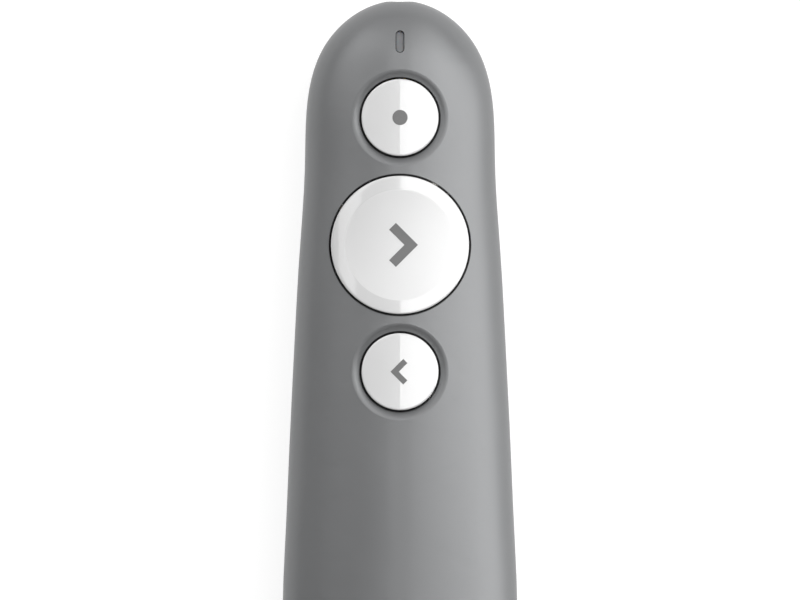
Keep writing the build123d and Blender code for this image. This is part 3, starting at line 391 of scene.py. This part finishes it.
def antenna_ceramic():
    """White low-loss ceramic of the chip antenna, with a tinned cap at each end."""
    made, tree, shader = finish("antenna_ceramic", IOR=1.6)
    low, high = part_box("antenna_chip")
    colour = mottle(tree, shader, "#d5d3cc", "#dedcd6", 1.2 * MM, (0.42, 0.55), 0.05 * MM, 0.002 * MM)
    offset = add(tree, MATH, {0: place(tree)[1]["X"], 1: (low.x + high.x) / 2}, operation="SUBTRACT")
    from_middle = add(tree, MATH, {0: offset}, operation="ABSOLUTE")
    bare = (high.x - low.x) / 2 - ANTENNA_END
    ends = add(tree, MATH, {0: from_middle, 1: bare}, operation="GREATER_THAN")
    lay_over(tree, shader, ends, colour, "#cfcdc6", metal=True)
    return made


def plated_steel():
    """Nickel-plated spring steel with faint draw lines along Y."""
    made, tree, shader = finish("plated_steel", Metallic=1.0)
    mottle(tree, shader, "#b3b1ac", "#c2c0bb", 1.5 * MM, (0.2, 0.32), 0.08 * MM, 0.002 * MM, (1, 8, 1))
    return made


def zinc_plated_steel():
    """Screw steel under bright zinc, a little blotchy and blue."""
    made, tree, shader = finish("zinc_plated_steel", Metallic=1.0)
    mottle(tree, shader, "#a7a9ac", "#bcbec1", 0.9 * MM, (0.28, 0.42), 0.05 * MM, 0.003 * MM)
    return made


def bright_solder():
    """Reflowed tin solder: bright, with soft uneven facets."""
    made, tree, shader = finish("bright_solder", Metallic=1.0)
    mottle(tree, shader, "#b9b9b8", "#cdcdcb", 0.4 * MM, (0.16, 0.3), 0.2 * MM, 0.01 * MM)
    return made


def led_resin():
    """Clear-topped resin of the indicator, yellow with phosphor."""
    made, tree, shader = finish("led_resin", IOR=1.5, Subsurface_Weight=0.2, Subsurface_Scale=0.2 * MM)
    mottle(tree, shader, "#dfd9a6", "#eae6bc", 0.4 * MM, (0.12, 0.2), 0.05 * MM, 0.001 * MM)
    return made


def frosted_acrylic():
    """Smoke-tinted acrylic light guide with a lightly frosted end."""
    made, tree, shader = finish("frosted_acrylic", IOR=1.49, Subsurface_Weight=0.2, Subsurface_Scale=0.5 * MM)
    mottle(tree, shader, "#727375", "#7c7d7f", 0.9 * MM, (0.3, 0.4), 0.06 * MM, 0.002 * MM)
    return made


def smoked_window():
    """Polished deep-red acrylic in front of the laser, clear enough to see through."""
    made, tree, shader = finish("smoked_window", IOR=1.49, Transmission_Weight=0.9)
    mottle(tree, shader, "#6b2226", "#74262b", 1.5 * MM, (0.02, 0.05), 0.5 * MM, 0.0002 * MM)
    return made


def coated_glass():
    """Moulded glass lens under a faint blue anti-reflection coat."""
    made, tree, shader = finish("coated_glass", IOR=1.58, Transmission_Weight=1.0, Coat_Weight=0.3,
                                Coat_Tint=linear("#bcc8ff"))
    mottle(tree, shader, "#e6eef2", "#eef4f6", 1.5 * MM, (0.01, 0.03), 0.5 * MM, 0.0001 * MM)
    return made


def turned_brass():
    """Free-cutting brass off a lathe: fine feed marks run round the barrel."""
    made, tree, shader = finish("turned_brass", Metallic=1.0)
    mottle(tree, shader, "#b08d4c", "#c29f5c", 1.2 * MM, (0.22, 0.32), 0.08 * MM, 0.004 * MM, (6, 1, 6))
    return made


def gold_plate():
    """Hard gold over nickel, drawn fine along the contact."""
    made, tree, shader = finish("gold_plate", Metallic=1.0)
    mottle(tree, shader, "#cfa64e", "#dbb55f", 0.8 * MM, (0.16, 0.26), 0.06 * MM, 0.001 * MM, (1, 6, 1))
    return made


def insulation(name, dark, light):
    """Extruded PVC on the leads: satin, drawn faintly along its length."""
    made, tree, shader = finish(name, IOR=1.53)
    mottle(tree, shader, dark, light, 1.0 * MM, (0.34, 0.44), 0.08 * MM, 0.002 * MM, (1, 5, 1))
    return made


def tongue_polymer():
    """Liquid-crystal polymer of the plug's tongue: off-white with faint flow lines."""
    made, tree, shader = finish("tongue_polymer", IOR=1.6)
    mottle(tree, shader, "#d3d0c8", "#dedcd5", 1.4 * MM, (0.36, 0.48), 0.07 * MM, 0.002 * MM, (1, 5, 1))
    return made


def cell_jacket():
    """Printed film shrunk over the cell's can: slate blue with a pale ring near the positive end."""
    made, tree, shader = finish("cell_jacket", IOR=1.5, Coat_Weight=0.6, Coat_Roughness=0.12)
    colour = mottle(tree, shader, "#2b3a48", "#2f3f4e", 5 * MM, (0.3, 0.36), 0.4 * MM, 0.003 * MM)
    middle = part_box("battery")[1].y - sum(CELL_BAND) / 2
    half = (CELL_BAND[1] - CELL_BAND[0]) / 2
    ring = add(tree, MATH, {0: place(tree)[1]["Y"], 1: middle, 2: half}, operation="COMPARE")
    lay_over(tree, shader, ring, colour, "#c9ccce")
    return made


def film_print(name, dark, light):
    """Ink printed on the battery's jacket."""
    made, tree, shader = finish(name, IOR=1.5, Coat_Weight=0.6, Coat_Roughness=0.12)
    mottle(tree, shader, dark, light, 0.8 * MM, (0.3, 0.36), 0.1 * MM, 0.001 * MM)
    return made


# --- camera, lamps and floor -------------------------------------------------------------------
def place_camera():
    data = bpy.data.cameras.new("camera")
    data.lens = LENS
    data.sensor_width = SENSOR
    camera = bpy.data.objects.new("camera", data)
    camera.location = (0.0, VIEW_CENTRE_Y, PARTING_Z + VIEW_WIDTH * LENS / SENSOR)
    bpy.context.scene.collection.objects.link(camera)
    bpy.context.scene.camera = camera
    bpy.context.scene.view_settings.view_transform = "Standard"


def panel(name, azimuth, height, breadth, length, radiance, aside):
    """Rectangular studio panel of an even radiance that faces the clicker; see PANELS."""
    data = bpy.data.lights.new(name, "AREA")
    data.shape = "RECTANGLE"
    data.size, data.size_y = [2 * PANEL_DISTANCE * math.tan(math.radians(a / 2)) for a in (breadth, length)]
    data.energy = radiance * math.pi * data.size * data.size_y
    lamp = bpy.data.objects.new(name, data)
    turn, rise = math.radians(azimuth), math.radians(height)
    towards = Vector((math.cos(turn) * math.cos(rise), math.sin(turn) * math.cos(rise), math.sin(rise)))
    sideways = Vector((-math.sin(turn), math.cos(turn), 0))
    lamp.location = PANEL_DISTANCE * (towards + sideways * math.tan(math.radians(aside)))
    lamp.rotation_euler = (-towards).to_track_quat("-Z", "Y").to_euler()
    lamp.visible_camera = False
    bpy.context.scene.collection.objects.link(lamp)


def light_studio():
    """A bright bank from overhead down to the right, and weak fill from the nose and the left."""
    for row in PANELS:
        panel(*row)
    world = bpy.data.worlds.new("room")
    world.use_nodes = True
    room = world.node_tree.nodes["Background"]
    room.inputs["Color"].default_value = linear("#ffffff")
    room.inputs["Strength"].default_value = ROOM_LIGHT
    bpy.context.scene.world = world


def lay_floor():
    """Pale desk that reads white to the camera and still takes the clicker's shadow."""
    mesh = bpy.data.meshes.new("desk")
    mesh.from_pydata([(x * DESK_HALF, y * DESK_HALF, 0) for x, y in ((-1, -1), (1, -1), (1, 1), (-1, 1))],
                     [], [(0, 1, 2, 3)])
    desk = bpy.data.objects.new("desk", mesh)
    bpy.context.scene.collection.objects.link(desk)
    material = bpy.data.materials.new("pale_desk")
    material.use_nodes = True
    tree = material.node_tree
    tree.nodes.clear()
    rays = add(tree, "ShaderNodeLightPath").outputs
    seen = 0.0
    for ray in ("Is Camera Ray", "Is Glossy Ray", "Is Transmission Ray"):
        seen = add(tree, MATH, {0: seen, 1: rays[ray]}, operation="MAXIMUM")
    lift = add(tree, MATH, {0: seen, 1: DESK_LIFT}, operation="MULTIPLY")
    glow = add(tree, "ShaderNodeEmission", {"Color": linear("#ffffff"), "Strength": lift})
    matt = add(tree, "ShaderNodeBsdfDiffuse", {"Color": linear("#9a9a9a")})
    both = add(tree, "ShaderNodeAddShader", {0: glow, 1: matt})
    add(tree, "ShaderNodeOutputMaterial", {"Surface": both})
    mesh.materials.append(material)


# --- pieces in general -------------------------------------------------------------------------
def piece_of(name, mesh, body, materials):
    """Scene object of a mesh, riding on its body."""
    for material in materials:
        mesh.materials.append(material)
    piece = bpy.data.objects.new(name, mesh)
    bpy.context.scene.collection.objects.link(piece)
    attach(piece, body)
    return piece


def from_bmesh(name, made):
    """Mesh of a bmesh with its faces outward, smooth but for its sharp edges."""
    bmesh.ops.recalc_face_normals(made, faces=made.faces)
    for face in made.faces:
        face.smooth = True
    mesh = bpy.data.meshes.new(name)
    made.to_mesh(mesh)
    made.free()
    mesh.set_sharp_from_angle(angle=SHARP)
    return mesh


def lathe(profile, steps, axis="Z"):
    """bmesh turned about an axis from (radius, height, material) points, closed at both ends."""
    made = bmesh.new()
    rings = []
    for r, h, material in profile:
        turns = [math.tau * i / steps for i in range(steps)] if r > 0 else [0.0]
        points = [(r * math.cos(t), r * math.sin(t), h) for t in turns]
        if axis == "Y":
            points = [(x, h, y) for x, y, h in points]
        rings.append([made.verts.new(p) for p in points])
    for (_, _, material), lower, upper in zip(profile[1:], rings, rings[1:]):
        for i in range(steps):
            j = (i + 1) % steps
            corners = [lower[i % len(lower)], lower[j % len(lower)],
                       upper[j % len(upper)], upper[i % len(upper)]]
            face = made.faces.new(list(dict.fromkeys(corners)))
            face.material_index = material
    return made


# --- big cap -----------------------------------------------------------------------------------
def skin_of(mesh):
    """What rays are cast at to find places on a mesh."""
    return BVHTree.FromPolygons([v.co for v in mesh.vertices], [p.vertices for p in mesh.polygons])


def crown_terms(x, y):
    return 1.0, y, x * x, y * y, x ** 4, x * x * y


def crown_of(mesh, centre, near, far):
    """Height of a cap's crowned face at any place, fitted to its ring between two radii."""
    skin = skin_of(mesh)
    rows, heights = [], []
    for r in (near, (near + far) / 2, far):
        for i in range(CROWN_RAYS):
            x, y = r * math.cos(math.tau * i / CROWN_RAYS), r * math.sin(math.tau * i / CROWN_RAYS)
            above = Vector((centre.x + x, centre.y + y, CAD_BOX[1][2] + 1 * MM))
            rows.append(crown_terms(x / far, y / far))
            heights.append(skin.ray_cast(above, Vector((0, 0, -1)))[0].z)
    fit = numpy.linalg.lstsq(numpy.array(rows), numpy.array(heights), rcond=None)[0]
    return lambda x, y: sum(float(a) * b for a, b in zip(fit, crown_terms(x / far, y / far)))


def dish_depth(r):
    """How far the big cap's face lies under its crown: a shallow dish, eased into the ring."""
    start = DISH_R - DISH_ROUND
    slope = -2 * DISH_DEPTH * start / DISH_R ** 2
    eased = min(max(r - start, 0.0), 2 * DISH_ROUND)
    depth = DISH_DEPTH * (1 - (min(r, start) / DISH_R) ** 2)
    return max(depth + slope * eased - slope * eased ** 2 / (4 * DISH_ROUND), 0.0)


def cap_profile(radius):
    """(radius, height off the crown, material) from the dish's middle to the ceiling underneath."""
    rim_r, in_ring = radius - CAP_EDGE, DISH_R + DISH_ROUND
    dish = [DISH_R * share / 12 for share in range(12)]
    ease = [DISH_R + DISH_ROUND * share / 4 for share in range(-4, 5)]
    ring = [in_ring + (rim_r - in_ring) * share / 4 for share in range(1, 5)]
    profile = [(r, -dish_depth(r), int(r <= DISH_R)) for r in sorted(dish + ease + ring)]
    for turn in [math.radians(angle) for angle in (18, 36, 54, 72, 90)]:
        profile.append((rim_r + CAP_EDGE * math.sin(turn), CAP_EDGE * (math.cos(turn) - 1), 0))
    profile += [(radius, LEVEL, 0), (radius - CAP_WALL, LEVEL, 0)]
    return profile + [((radius - CAP_WALL) * share / 4, -CAP_WALL, 0) for share in (4, 3, 2, 1, 0)]


def dished_cap(gloss, satin):
    """The big cap: a crowned ring round a dish that follows the crown, hollow underneath."""
    low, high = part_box("next_button_cap")
    centre = (low + high) / 2
    radius = (high.x - low.x) / 2
    crown = crown_of(NODES["next_button_cap"].data, centre, DISH_R + RAYS_OFF_DISH, radius - RAYS_OFF_RIM)
    made = lathe(cap_profile(radius), 128)
    for vert in made.verts:
        vert.co.z = low.z if vert.co.z == LEVEL else vert.co.z + crown(vert.co.x, vert.co.y)
        vert.co.x += centre.x
        vert.co.y += centre.y
    cap = piece_of("next_cap", from_bmesh("next_cap", made), "next_button", [gloss, satin])
    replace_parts(cap, "next_button_cap")
    return cap.data


# --- printed signs -----------------------------------------------------------------------------
def chevron(tip_x, arm, stroke, side):
    """Outline of a chevron whose outer corner is at tip_x and points to side."""
    reach = arm / math.sqrt(2)
    notch = stroke / math.sqrt(2)
    half = [(0, 0), (-reach, reach), (-reach - notch, reach - notch), (-2 * notch, 0)]
    points = half + [(x, -y) for x, y in reversed(half[1:3])]
    return [(tip_x + side * x, y) for x, y in points]


def disc(r):
    return [(r * math.cos(math.tau * i / 48), r * math.sin(math.tau * i / 48)) for i in range(48)]


def dash(arm, stroke):
    half, low = arm / 2, stroke / 2
    return [(-half, -low), (half, -low), (half, low), (-half, low)]


def cross(arm, stroke):
    """Outline of a plus sign."""
    a, s = arm / 2, stroke / 2
    return [(-a, -s), (-s, -s), (-s, -a), (s, -a), (s, -s), (a, -s),
            (a, s), (s, s), (s, a), (-s, a), (-s, s), (-a, s)]


def cut_film(outline, step):
    """Flat bmesh of an outline, cut into cells of one step so that it can follow a curve."""
    film = bmesh.new()
    film.faces.new([film.verts.new((x, y, 0)) for x, y in outline])
    film.normal_update()
    bmesh.ops.triangulate(film, faces=film.faces)
    for axis in (0, 1):
        values = [point[axis] for point in outline]
        for i in range(1, int((max(values) - min(values)) / step)):
            cut, normal = [0.0, 0.0, 0.0], [0.0, 0.0, 0.0]
            cut[axis] = min(values) + i * step
            normal[axis] = 1.0
            bmesh.ops.bisect_plane(film, geom=film.verts[:] + film.edges[:] + film.faces[:],
                                   plane_co=cut, plane_no=normal, dist=1e-7)
    return film


def film_mesh(name, film, surface):
    """Gives a flat film its place and thickness: surface(x, y) is a point and its outward normal."""
    places = {vert: surface(vert.co.x, vert.co.y) for vert in film.verts}
    sheet = film.faces[:]
    walls = bmesh.ops.extrude_face_region(film, geom=sheet)
    for vert in walls["geom"]:
        if isinstance(vert, bmesh.types.BMVert):
            point, normal = surface(vert.co.x, vert.co.y)
            vert.co = point + normal * INK_PROUD
    for vert, (point, normal) in places.items():
        vert.co = point + normal * (INK_PROUD - INK_THICK)
    return from_bmesh(name, film)


def printed_signs(ink, big_cap):
    """Dot and chevrons on the caps, printed on their crowned and dished faces."""
    outlines = {
        "laser": disc(DOT_R),
        "next": chevron(NEXT_TIP_X, NEXT_ARM, NEXT_STROKE, 1),
        "back": chevron(BACK_TIP_X, BACK_ARM, BACK_STROKE, -1),
    }
    for button, outline in outlines.items():
        low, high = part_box(f"{button}_button_cap")
        centre = (low + high) / 2
        skin = skin_of(big_cap if button == "next" else NODES[f"{button}_button_cap"].data)

        def on_cap(x, y):
            start = Vector((centre.x + x, centre.y + y, high.z + 1 * MM))
            point, normal = skin.ray_cast(start, Vector((0, 0, -1)))[:2]
            return point, normal if normal.z > 0 else -normal

        mesh = film_mesh(f"{button}_sign", cut_film(outline, INK_STEP), on_cap)
        piece_of(f"{button}_sign", mesh, f"{button}_button", [ink])


def bay_signs(ink):
    """Plus and minus printed on the deck beside the battery, to be read with the door off."""
    low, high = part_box("battery")
    signs = (
        ("bay_plus", high.y - BAY_SIGN_IN, cross(BAY_SIGN_ARM, BAY_SIGN_STROKE)),
        ("bay_minus", low.y + BAY_SIGN_IN, dash(BAY_SIGN_ARM, BAY_SIGN_STROKE)),
    )
    for name, middle_y, outline in signs:

        def on_deck(x, y):
            return Vector((BAY_SIGN_X + x, middle_y + y, DECK_Z)), Vector((0, 0, -1))

        mesh = film_mesh(name, cut_film(outline, BAY_SIGN_ARM), on_deck)
        piece_of(name, mesh, "housing", [ink])


# --- battery -----------------------------------------------------------------------------------
def cell_profile(low_y, high_y):
    """(radius, y, material) from the nub's end to the flat end, the jacket curled over both shoulders."""
    steel, film = 0, 1
    front = [
        (0.0, 0.0, steel), (1.6, 0.0, steel), (1.84, 0.1, steel), (1.9, 0.3, steel), (1.9, 0.98, steel),
        (2.1, 1.12, steel), (3.7, 1.12, steel), (3.75, 1.32, steel), (4.15, 1.32, steel),
        (4.2, 1.1, film), (4.35, 1.02, film), (4.75, 1.0, film), (5.08, 1.12, film), (5.25, 1.45, film),
        (5.25, 2.2, film), (5.21, 2.32, film), (5.21, 2.5, film), (5.25, 2.62, film),
    ]
    tail = [(5.25, 1.2, film), (5.2, 0.5, film), (5.05, 0.18, film), (4.75, 0.04, film), (4.4, 0.06, film),
            (4.3, 0.3, film), (4.1, 0.36, steel), (4.0, 0.06, steel), (3.8, 0.0, steel), (0.0, 0.0, steel)]
    points = [(r * MM, high_y - back * MM, m) for r, back, m in front]
    points += [(CELL_R, high_y - (high_y - low_y) * share, film) for share in (0.25, 0.5, 0.75)]
    return points + [(r * MM, low_y + rise * MM, m) for r, rise, m in tail]


def battery_cell(steel):
    """Round cell with a steel nub and plate in a printed jacket, and a plus and a minus on it."""
    low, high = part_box("battery")
    centre = Vector(((low.x + high.x) / 2, 0, (low.z + high.z) / 2))
    made = lathe(cell_profile(low.y, high.y), 96, "Y")
    bmesh.ops.translate(made, vec=centre, verts=made.verts)
    cell = piece_of("battery_cell", from_bmesh("battery_cell", made), "housing",
                    [steel, cell_jacket()])
    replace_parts(cell, "battery")
    signs = (
        ("cell_plus", cross, high.y - sum(CELL_BAND) / 2, film_print("dark_print", "#26323d", "#2a3642")),
        ("cell_minus", dash, low.y + CELL_MINUS_IN, film_print("pale_print", "#c4c7c9", "#ced0d2")),
    )
    for name, outline, middle_y, ink in signs:

        def on_jacket(x, y):
            turn = x / CELL_R
            normal = Vector((math.sin(turn), 0, -math.cos(turn)))
            return centre + Vector((0, middle_y + y, 0)) + normal * CELL_R, normal

        film = cut_film(outline(CELL_SIGN_ARM, CELL_SIGN_STROKE), CELL_SIGN_STEP)
        piece_of(name, film_mesh(name, film, on_jacket), "housing", [ink])


# --- geometry trees for what repeats -------------------------------------------------------------
def new_tree(name, sockets):
    """Geometry tree with named inputs; returns it, its input node and each input's identifier."""
    tree = bpy.data.node_groups.new(name, "GeometryNodeTree")
    tree.interface.new_socket("Geometry", in_out="INPUT", socket_type="NodeSocketGeometry")
    tree.interface.new_socket("Geometry", in_out="OUTPUT", socket_type="NodeSocketGeometry")
    keys = {}
    for label, kind in sockets.items():
        keys[label] = tree.interface.new_socket(label, in_out="INPUT", socket_type=kind).identifier
    return tree, add(tree, "NodeGroupInput").outputs, keys


def thread_tree():
    """Winds a triangular thread round the incoming screw."""
    tree, given, keys = new_tree("screw_thread", {
        "Radius": "NodeSocketFloat", "Pitch": "NodeSocketFloat", "Length": "NodeSocketFloat",
        "Depth": "NodeSocketFloat", "Start": "NodeSocketVector", "Material": "NodeSocketMaterial"})
    turns = add(tree, MATH, {0: given["Length"], 1: given["Pitch"]}, operation="DIVIDE")
    crest = add(tree, MATH, {0: given["Radius"], 1: given["Depth"]}, operation="SUBTRACT")
    helix = add(tree, "GeometryNodeCurveSpiral", {
        "Resolution": 20, "Rotations": turns, "Start Radius": crest, "End Radius": crest,
        "Height": given["Length"]})
    profile = add(tree, "GeometryNodeCurvePrimitiveCircle", {"Resolution": 3, "Radius": given["Depth"]},
                  mode="RADIUS")
    ridge = add(tree, "GeometryNodeCurveToMesh", {
        "Curve": helix, "Profile Curve": profile, "Fill Caps": True})
    raised = add(tree, "GeometryNodeTransform", {"Geometry": ridge, "Translation": given["Start"]})
    joined = add(tree, "GeometryNodeJoinGeometry")
    tree.links.new(given["Geometry"], joined.inputs[0])
    tree.links.new(raised.outputs[0], joined.inputs[0])
    whole = add(tree, "GeometryNodeRealizeInstances", {"Geometry": joined})
    dressed = add(tree, "GeometryNodeSetMaterial", {"Geometry": whole, "Material": given["Material"]})
    add(tree, "NodeGroupOutput", {"Geometry": dressed})
    return tree, keys


def grid_tree():
    """Sets copies of the incoming mesh on a grid of places and gives them one material."""
    tree, given, keys = new_tree("grid_of_copies", {
        "Columns": "NodeSocketInt", "Rows": "NodeSocketInt", "Width": "NodeSocketFloat",
        "Length": "NodeSocketFloat", "Centre": "NodeSocketVector", "Material": "NodeSocketMaterial"})
    grid = add(tree, "GeometryNodeMeshGrid", {
        "Size X": given["Width"], "Size Y": given["Length"],
        "Vertices X": given["Columns"], "Vertices Y": given["Rows"]})
    moved = add(tree, "GeometryNodeTransform", {"Geometry": grid, "Translation": given["Centre"]})
    copies = add(tree, "GeometryNodeInstanceOnPoints", {"Points": moved, "Instance": given["Geometry"]})
    whole = add(tree, "GeometryNodeRealizeInstances", {"Geometry": copies})
    dressed = add(tree, "GeometryNodeSetMaterial", {"Geometry": whole, "Material": given["Material"]})
    add(tree, "NodeGroupOutput", {"Geometry": dressed})
    return tree, keys


def plain_mesh(holder):
    """What an object's live modifiers make of its mesh, as a mesh of its own; the object goes."""
    bpy.context.view_layer.update()
    mesh = bpy.data.meshes.new_from_object(holder.evaluated_get(bpy.context.evaluated_depsgraph_get()))
    bpy.data.objects.remove(holder)
    return mesh


def grown(name, mesh, *stages):
    """Plain mesh that comes out of one or more geometry trees, each with its input values."""
    holder = bpy.data.objects.new(name, mesh)
    bpy.context.scene.collection.objects.link(holder)
    for (tree, keys), values in stages:
        modifier = holder.modifiers.new(tree.name, "NODES")
        modifier.node_group = tree
        for label, value in values.items():
            modifier[keys[label]] = value
    baked = plain_mesh(holder)
    baked.name = name
    return baked


# --- fasteners ---------------------------------------------------------------------------------
def linked(name, made):
    """Scene object of a bmesh with its faces outward, for a modifier to work on."""
    bmesh.ops.recalc_face_normals(made, faces=made.faces)
    holder = bpy.data.objects.new(name, bpy.data.meshes.new(name))
    made.to_mesh(holder.data)
    made.free()
    bpy.context.scene.collection.objects.link(holder)
    return holder


def recess_bit(reach, low, height):
    """Tapered cross that is driven into a screw's head from below, as a linked object."""
    bit = bmesh.new()
    half, deep = RECESS_WIDTH / 2, height * RECESS_DEPTH
    for turn in (0, 1):
        mouth = [(-reach, -half, low - height), (reach, -half, low - height),
                 (reach, half, low - height), (-reach, half, low - height)]
        floor = [(x * RECESS_FLOOR[0], y * RECESS_FLOOR[1], low + deep) for x, y, z in mouth]
        if turn:
            mouth, floor = [[(y, x, z) for x, y, z in ring] for ring in (mouth, floor)]
        bmesh.ops.convex_hull(bit, input=[bit.verts.new(p) for p in mouth + floor])
    return linked("bit", bit)


def screw_mesh(sizes, low, high, tip_z):
    """Pan-head screw driven upwards, with a tapered cross recess in its head and a plain core."""
    r, core = sizes["head_r"], sizes["core_r"]
    height = high - low
    head = [(0, 0), (0.45, 0.01), (0.72, 0.08), (0.9, 0.24), (0.98, 0.46), (1, 0.7), (1, 0.94), (0.97, 1)]
    profile = [(r * share, low + height * rise, 0) for share, rise in head]
    profile += [(core * 1.25, high, 0), (core, high + core * 0.25, 0), (core, tip_z - core, 0),
                (core * 0.35, tip_z - 0.12 * MM, 0), (0, tip_z, 0)]
    screw = linked("screw", lathe(profile, 48))
    cutter = recess_bit(sizes["recess"], low, height)
    cut = screw.modifiers.new("recess", "BOOLEAN")
    cut.operation = "DIFFERENCE"
    cut.solver = "EXACT"
    cut.use_self = True
    cut.object = cutter
    mesh = plain_mesh(screw)
    bpy.data.objects.remove(cutter)
    return mesh


def screws(name, node, sizes, trees, zinc):
    """The four equal screws of a node, at the corners of their rectangle."""
    low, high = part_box(node)
    under_head = low.z + sizes["head_r"] * HEAD_HEIGHT
    start = under_head + 2 * sizes["core_r"]
    threads, grid = trees
    mesh = grown(name, screw_mesh(sizes, low.z, under_head, high.z),
                 (threads, {"Radius": sizes["thread_r"], "Pitch": sizes["pitch"],
                            "Length": high.z - start - 1.2 * sizes["thread_r"],
                            "Depth": THREAD_DEPTH * (sizes["thread_r"] - sizes["core_r"]),
                            "Start": (0, 0, start), "Material": zinc}),
                 (grid, {"Columns": 2, "Rows": 2, "Width": high.x - low.x - 2 * sizes["head_r"],
                         "Length": high.y - low.y - 2 * sizes["head_r"],
                         "Centre": ((low.x + high.x) / 2, (low.y + high.y) / 2, 0), "Material": zinc}))
    for polygon in mesh.polygons:
        polygon.use_smooth = True
    mesh.set_sharp_from_angle(angle=SHARP)
    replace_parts(piece_of(name, mesh, "housing", []), node)


# --- solder ------------------------------------------------------------------------------------
def joint_mesh(size):
    """Low domed solder joint on its pad, its top drawn in."""
    made = bmesh.new()
    rings = []
    turns = [math.tau * (i + 0.5) / 16 for i in range(16)]
    for share, height in ((1.0, -0.02), (1.0, 0.1), (0.92, 0.5), (0.72, 0.88), (0.4, 1.0)):
        corners = []
        for turn in turns:
            x = math.copysign(abs(math.cos(turn)) ** 0.4, math.cos(turn))
            y = math.copysign(abs(math.sin(turn)) ** 0.4, math.sin(turn))
            corners.append(made.verts.new((x * share * size[0] / 2, y * share * size[1] / 2,
                                           height * JOINT_HEIGHT)))
        rings.append(corners)
    for lower, upper in zip(rings, rings[1:]):
        for i in range(len(turns)):
            made.faces.new([lower[i - 1], lower[i], upper[i], upper[i - 1]])
    made.faces.new(rings[0])
    made.faces.new(rings[-1])
    return from_bmesh("solder_joint", made)


def solder_joints(grid, solder):
    """Joints where the switches, the processor, the crystal and the antenna meet the board."""
    board_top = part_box("main_board")[1].z
    for node, name, size, columns, rows, more_x, more_y in JOINTS:
        low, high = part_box(node)
        mesh = grown(name, joint_mesh(size),
                     (grid, {"Columns": columns, "Rows": rows, "Width": high.x - low.x + more_x,
                             "Length": high.y - low.y + more_y,
                             "Centre": ((low.x + high.x) / 2, (low.y + high.y) / 2, board_top),
                             "Material": solder}))
        piece_of(name, mesh, "housing", [])


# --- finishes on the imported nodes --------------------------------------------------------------
def dress(material, *names):
    for name in names:
        mesh = NODES[name].data
        mesh.materials.clear()
        mesh.materials.append(material)


def dress_nodes(white, steel, zinc):
    dress(satin_grey_paint(), "top_cover", "bottom_cover", "battery_door")
    dress(white, *[f"{b}_button_cap" for b in BUTTONS])
    dress(black_acetal(), *[f"{b}_button_carrier" for b in BUTTONS])
    dress(switch_nylon(), *[f"{b}_switch" for b in BUTTONS])
    dress(pale_nylon(), *[f"{b}_switch_plunger" for b in BUTTONS])
    dress(solder_mask(), "main_board", "laser_board", "receiver_board")
    dress(chip_epoxy(), "mcu_chip")
    dress(passive_ceramic(), "board_passives")
    dress(antenna_ceramic(), "antenna_chip")
    dress(steel, "crystal", "positive_contact", "negative_contact", "negative_spring", "usb_shell", "battery")
    dress(zinc, "board_screws", "housing_screws")
    dress(led_resin(), "indicator_led")
    dress(frosted_acrylic(), "light_guide")
    dress(smoked_window(), "laser_window")
    dress(coated_glass(), "laser_lens")
    dress(turned_brass(), "laser_barrel", "lens_ring")
    dress(gold_plate(), "laser_diode", "usb_contacts")
    dress(insulation("red_insulation", "#8f1d1c", "#9c2322"), "laser_wire_red")
    dress(insulation("black_insulation", "#1b1b1c", "#232324"), "laser_wire_black", "negative_lead")
    dress(grained_grip_abs(), "receiver_grip")
    dress(tongue_polymer(), "usb_tongue")


place_camera()
light_studio()
lay_floor()
white, steel, zinc = gloss_white_abs(), plated_steel(), zinc_plated_steel()
dress_nodes(white, steel, zinc)
printed_signs(printed_ink("grey_ink", "#6c6c6c", "#707070"), dished_cap(white, satin_white_abs()))
bay_signs(printed_ink("dark_ink", "#2a2a2b", "#303031"))
battery_cell(steel)
grid, threads = grid_tree(), thread_tree()
screws("housing_screw_set", "housing_screws", HOUSING_SCREW, (threads, grid), zinc)
screws("board_screw_set", "board_screws", BOARD_SCREW, (threads, grid), zinc)
solder_joints(grid, bright_solder())
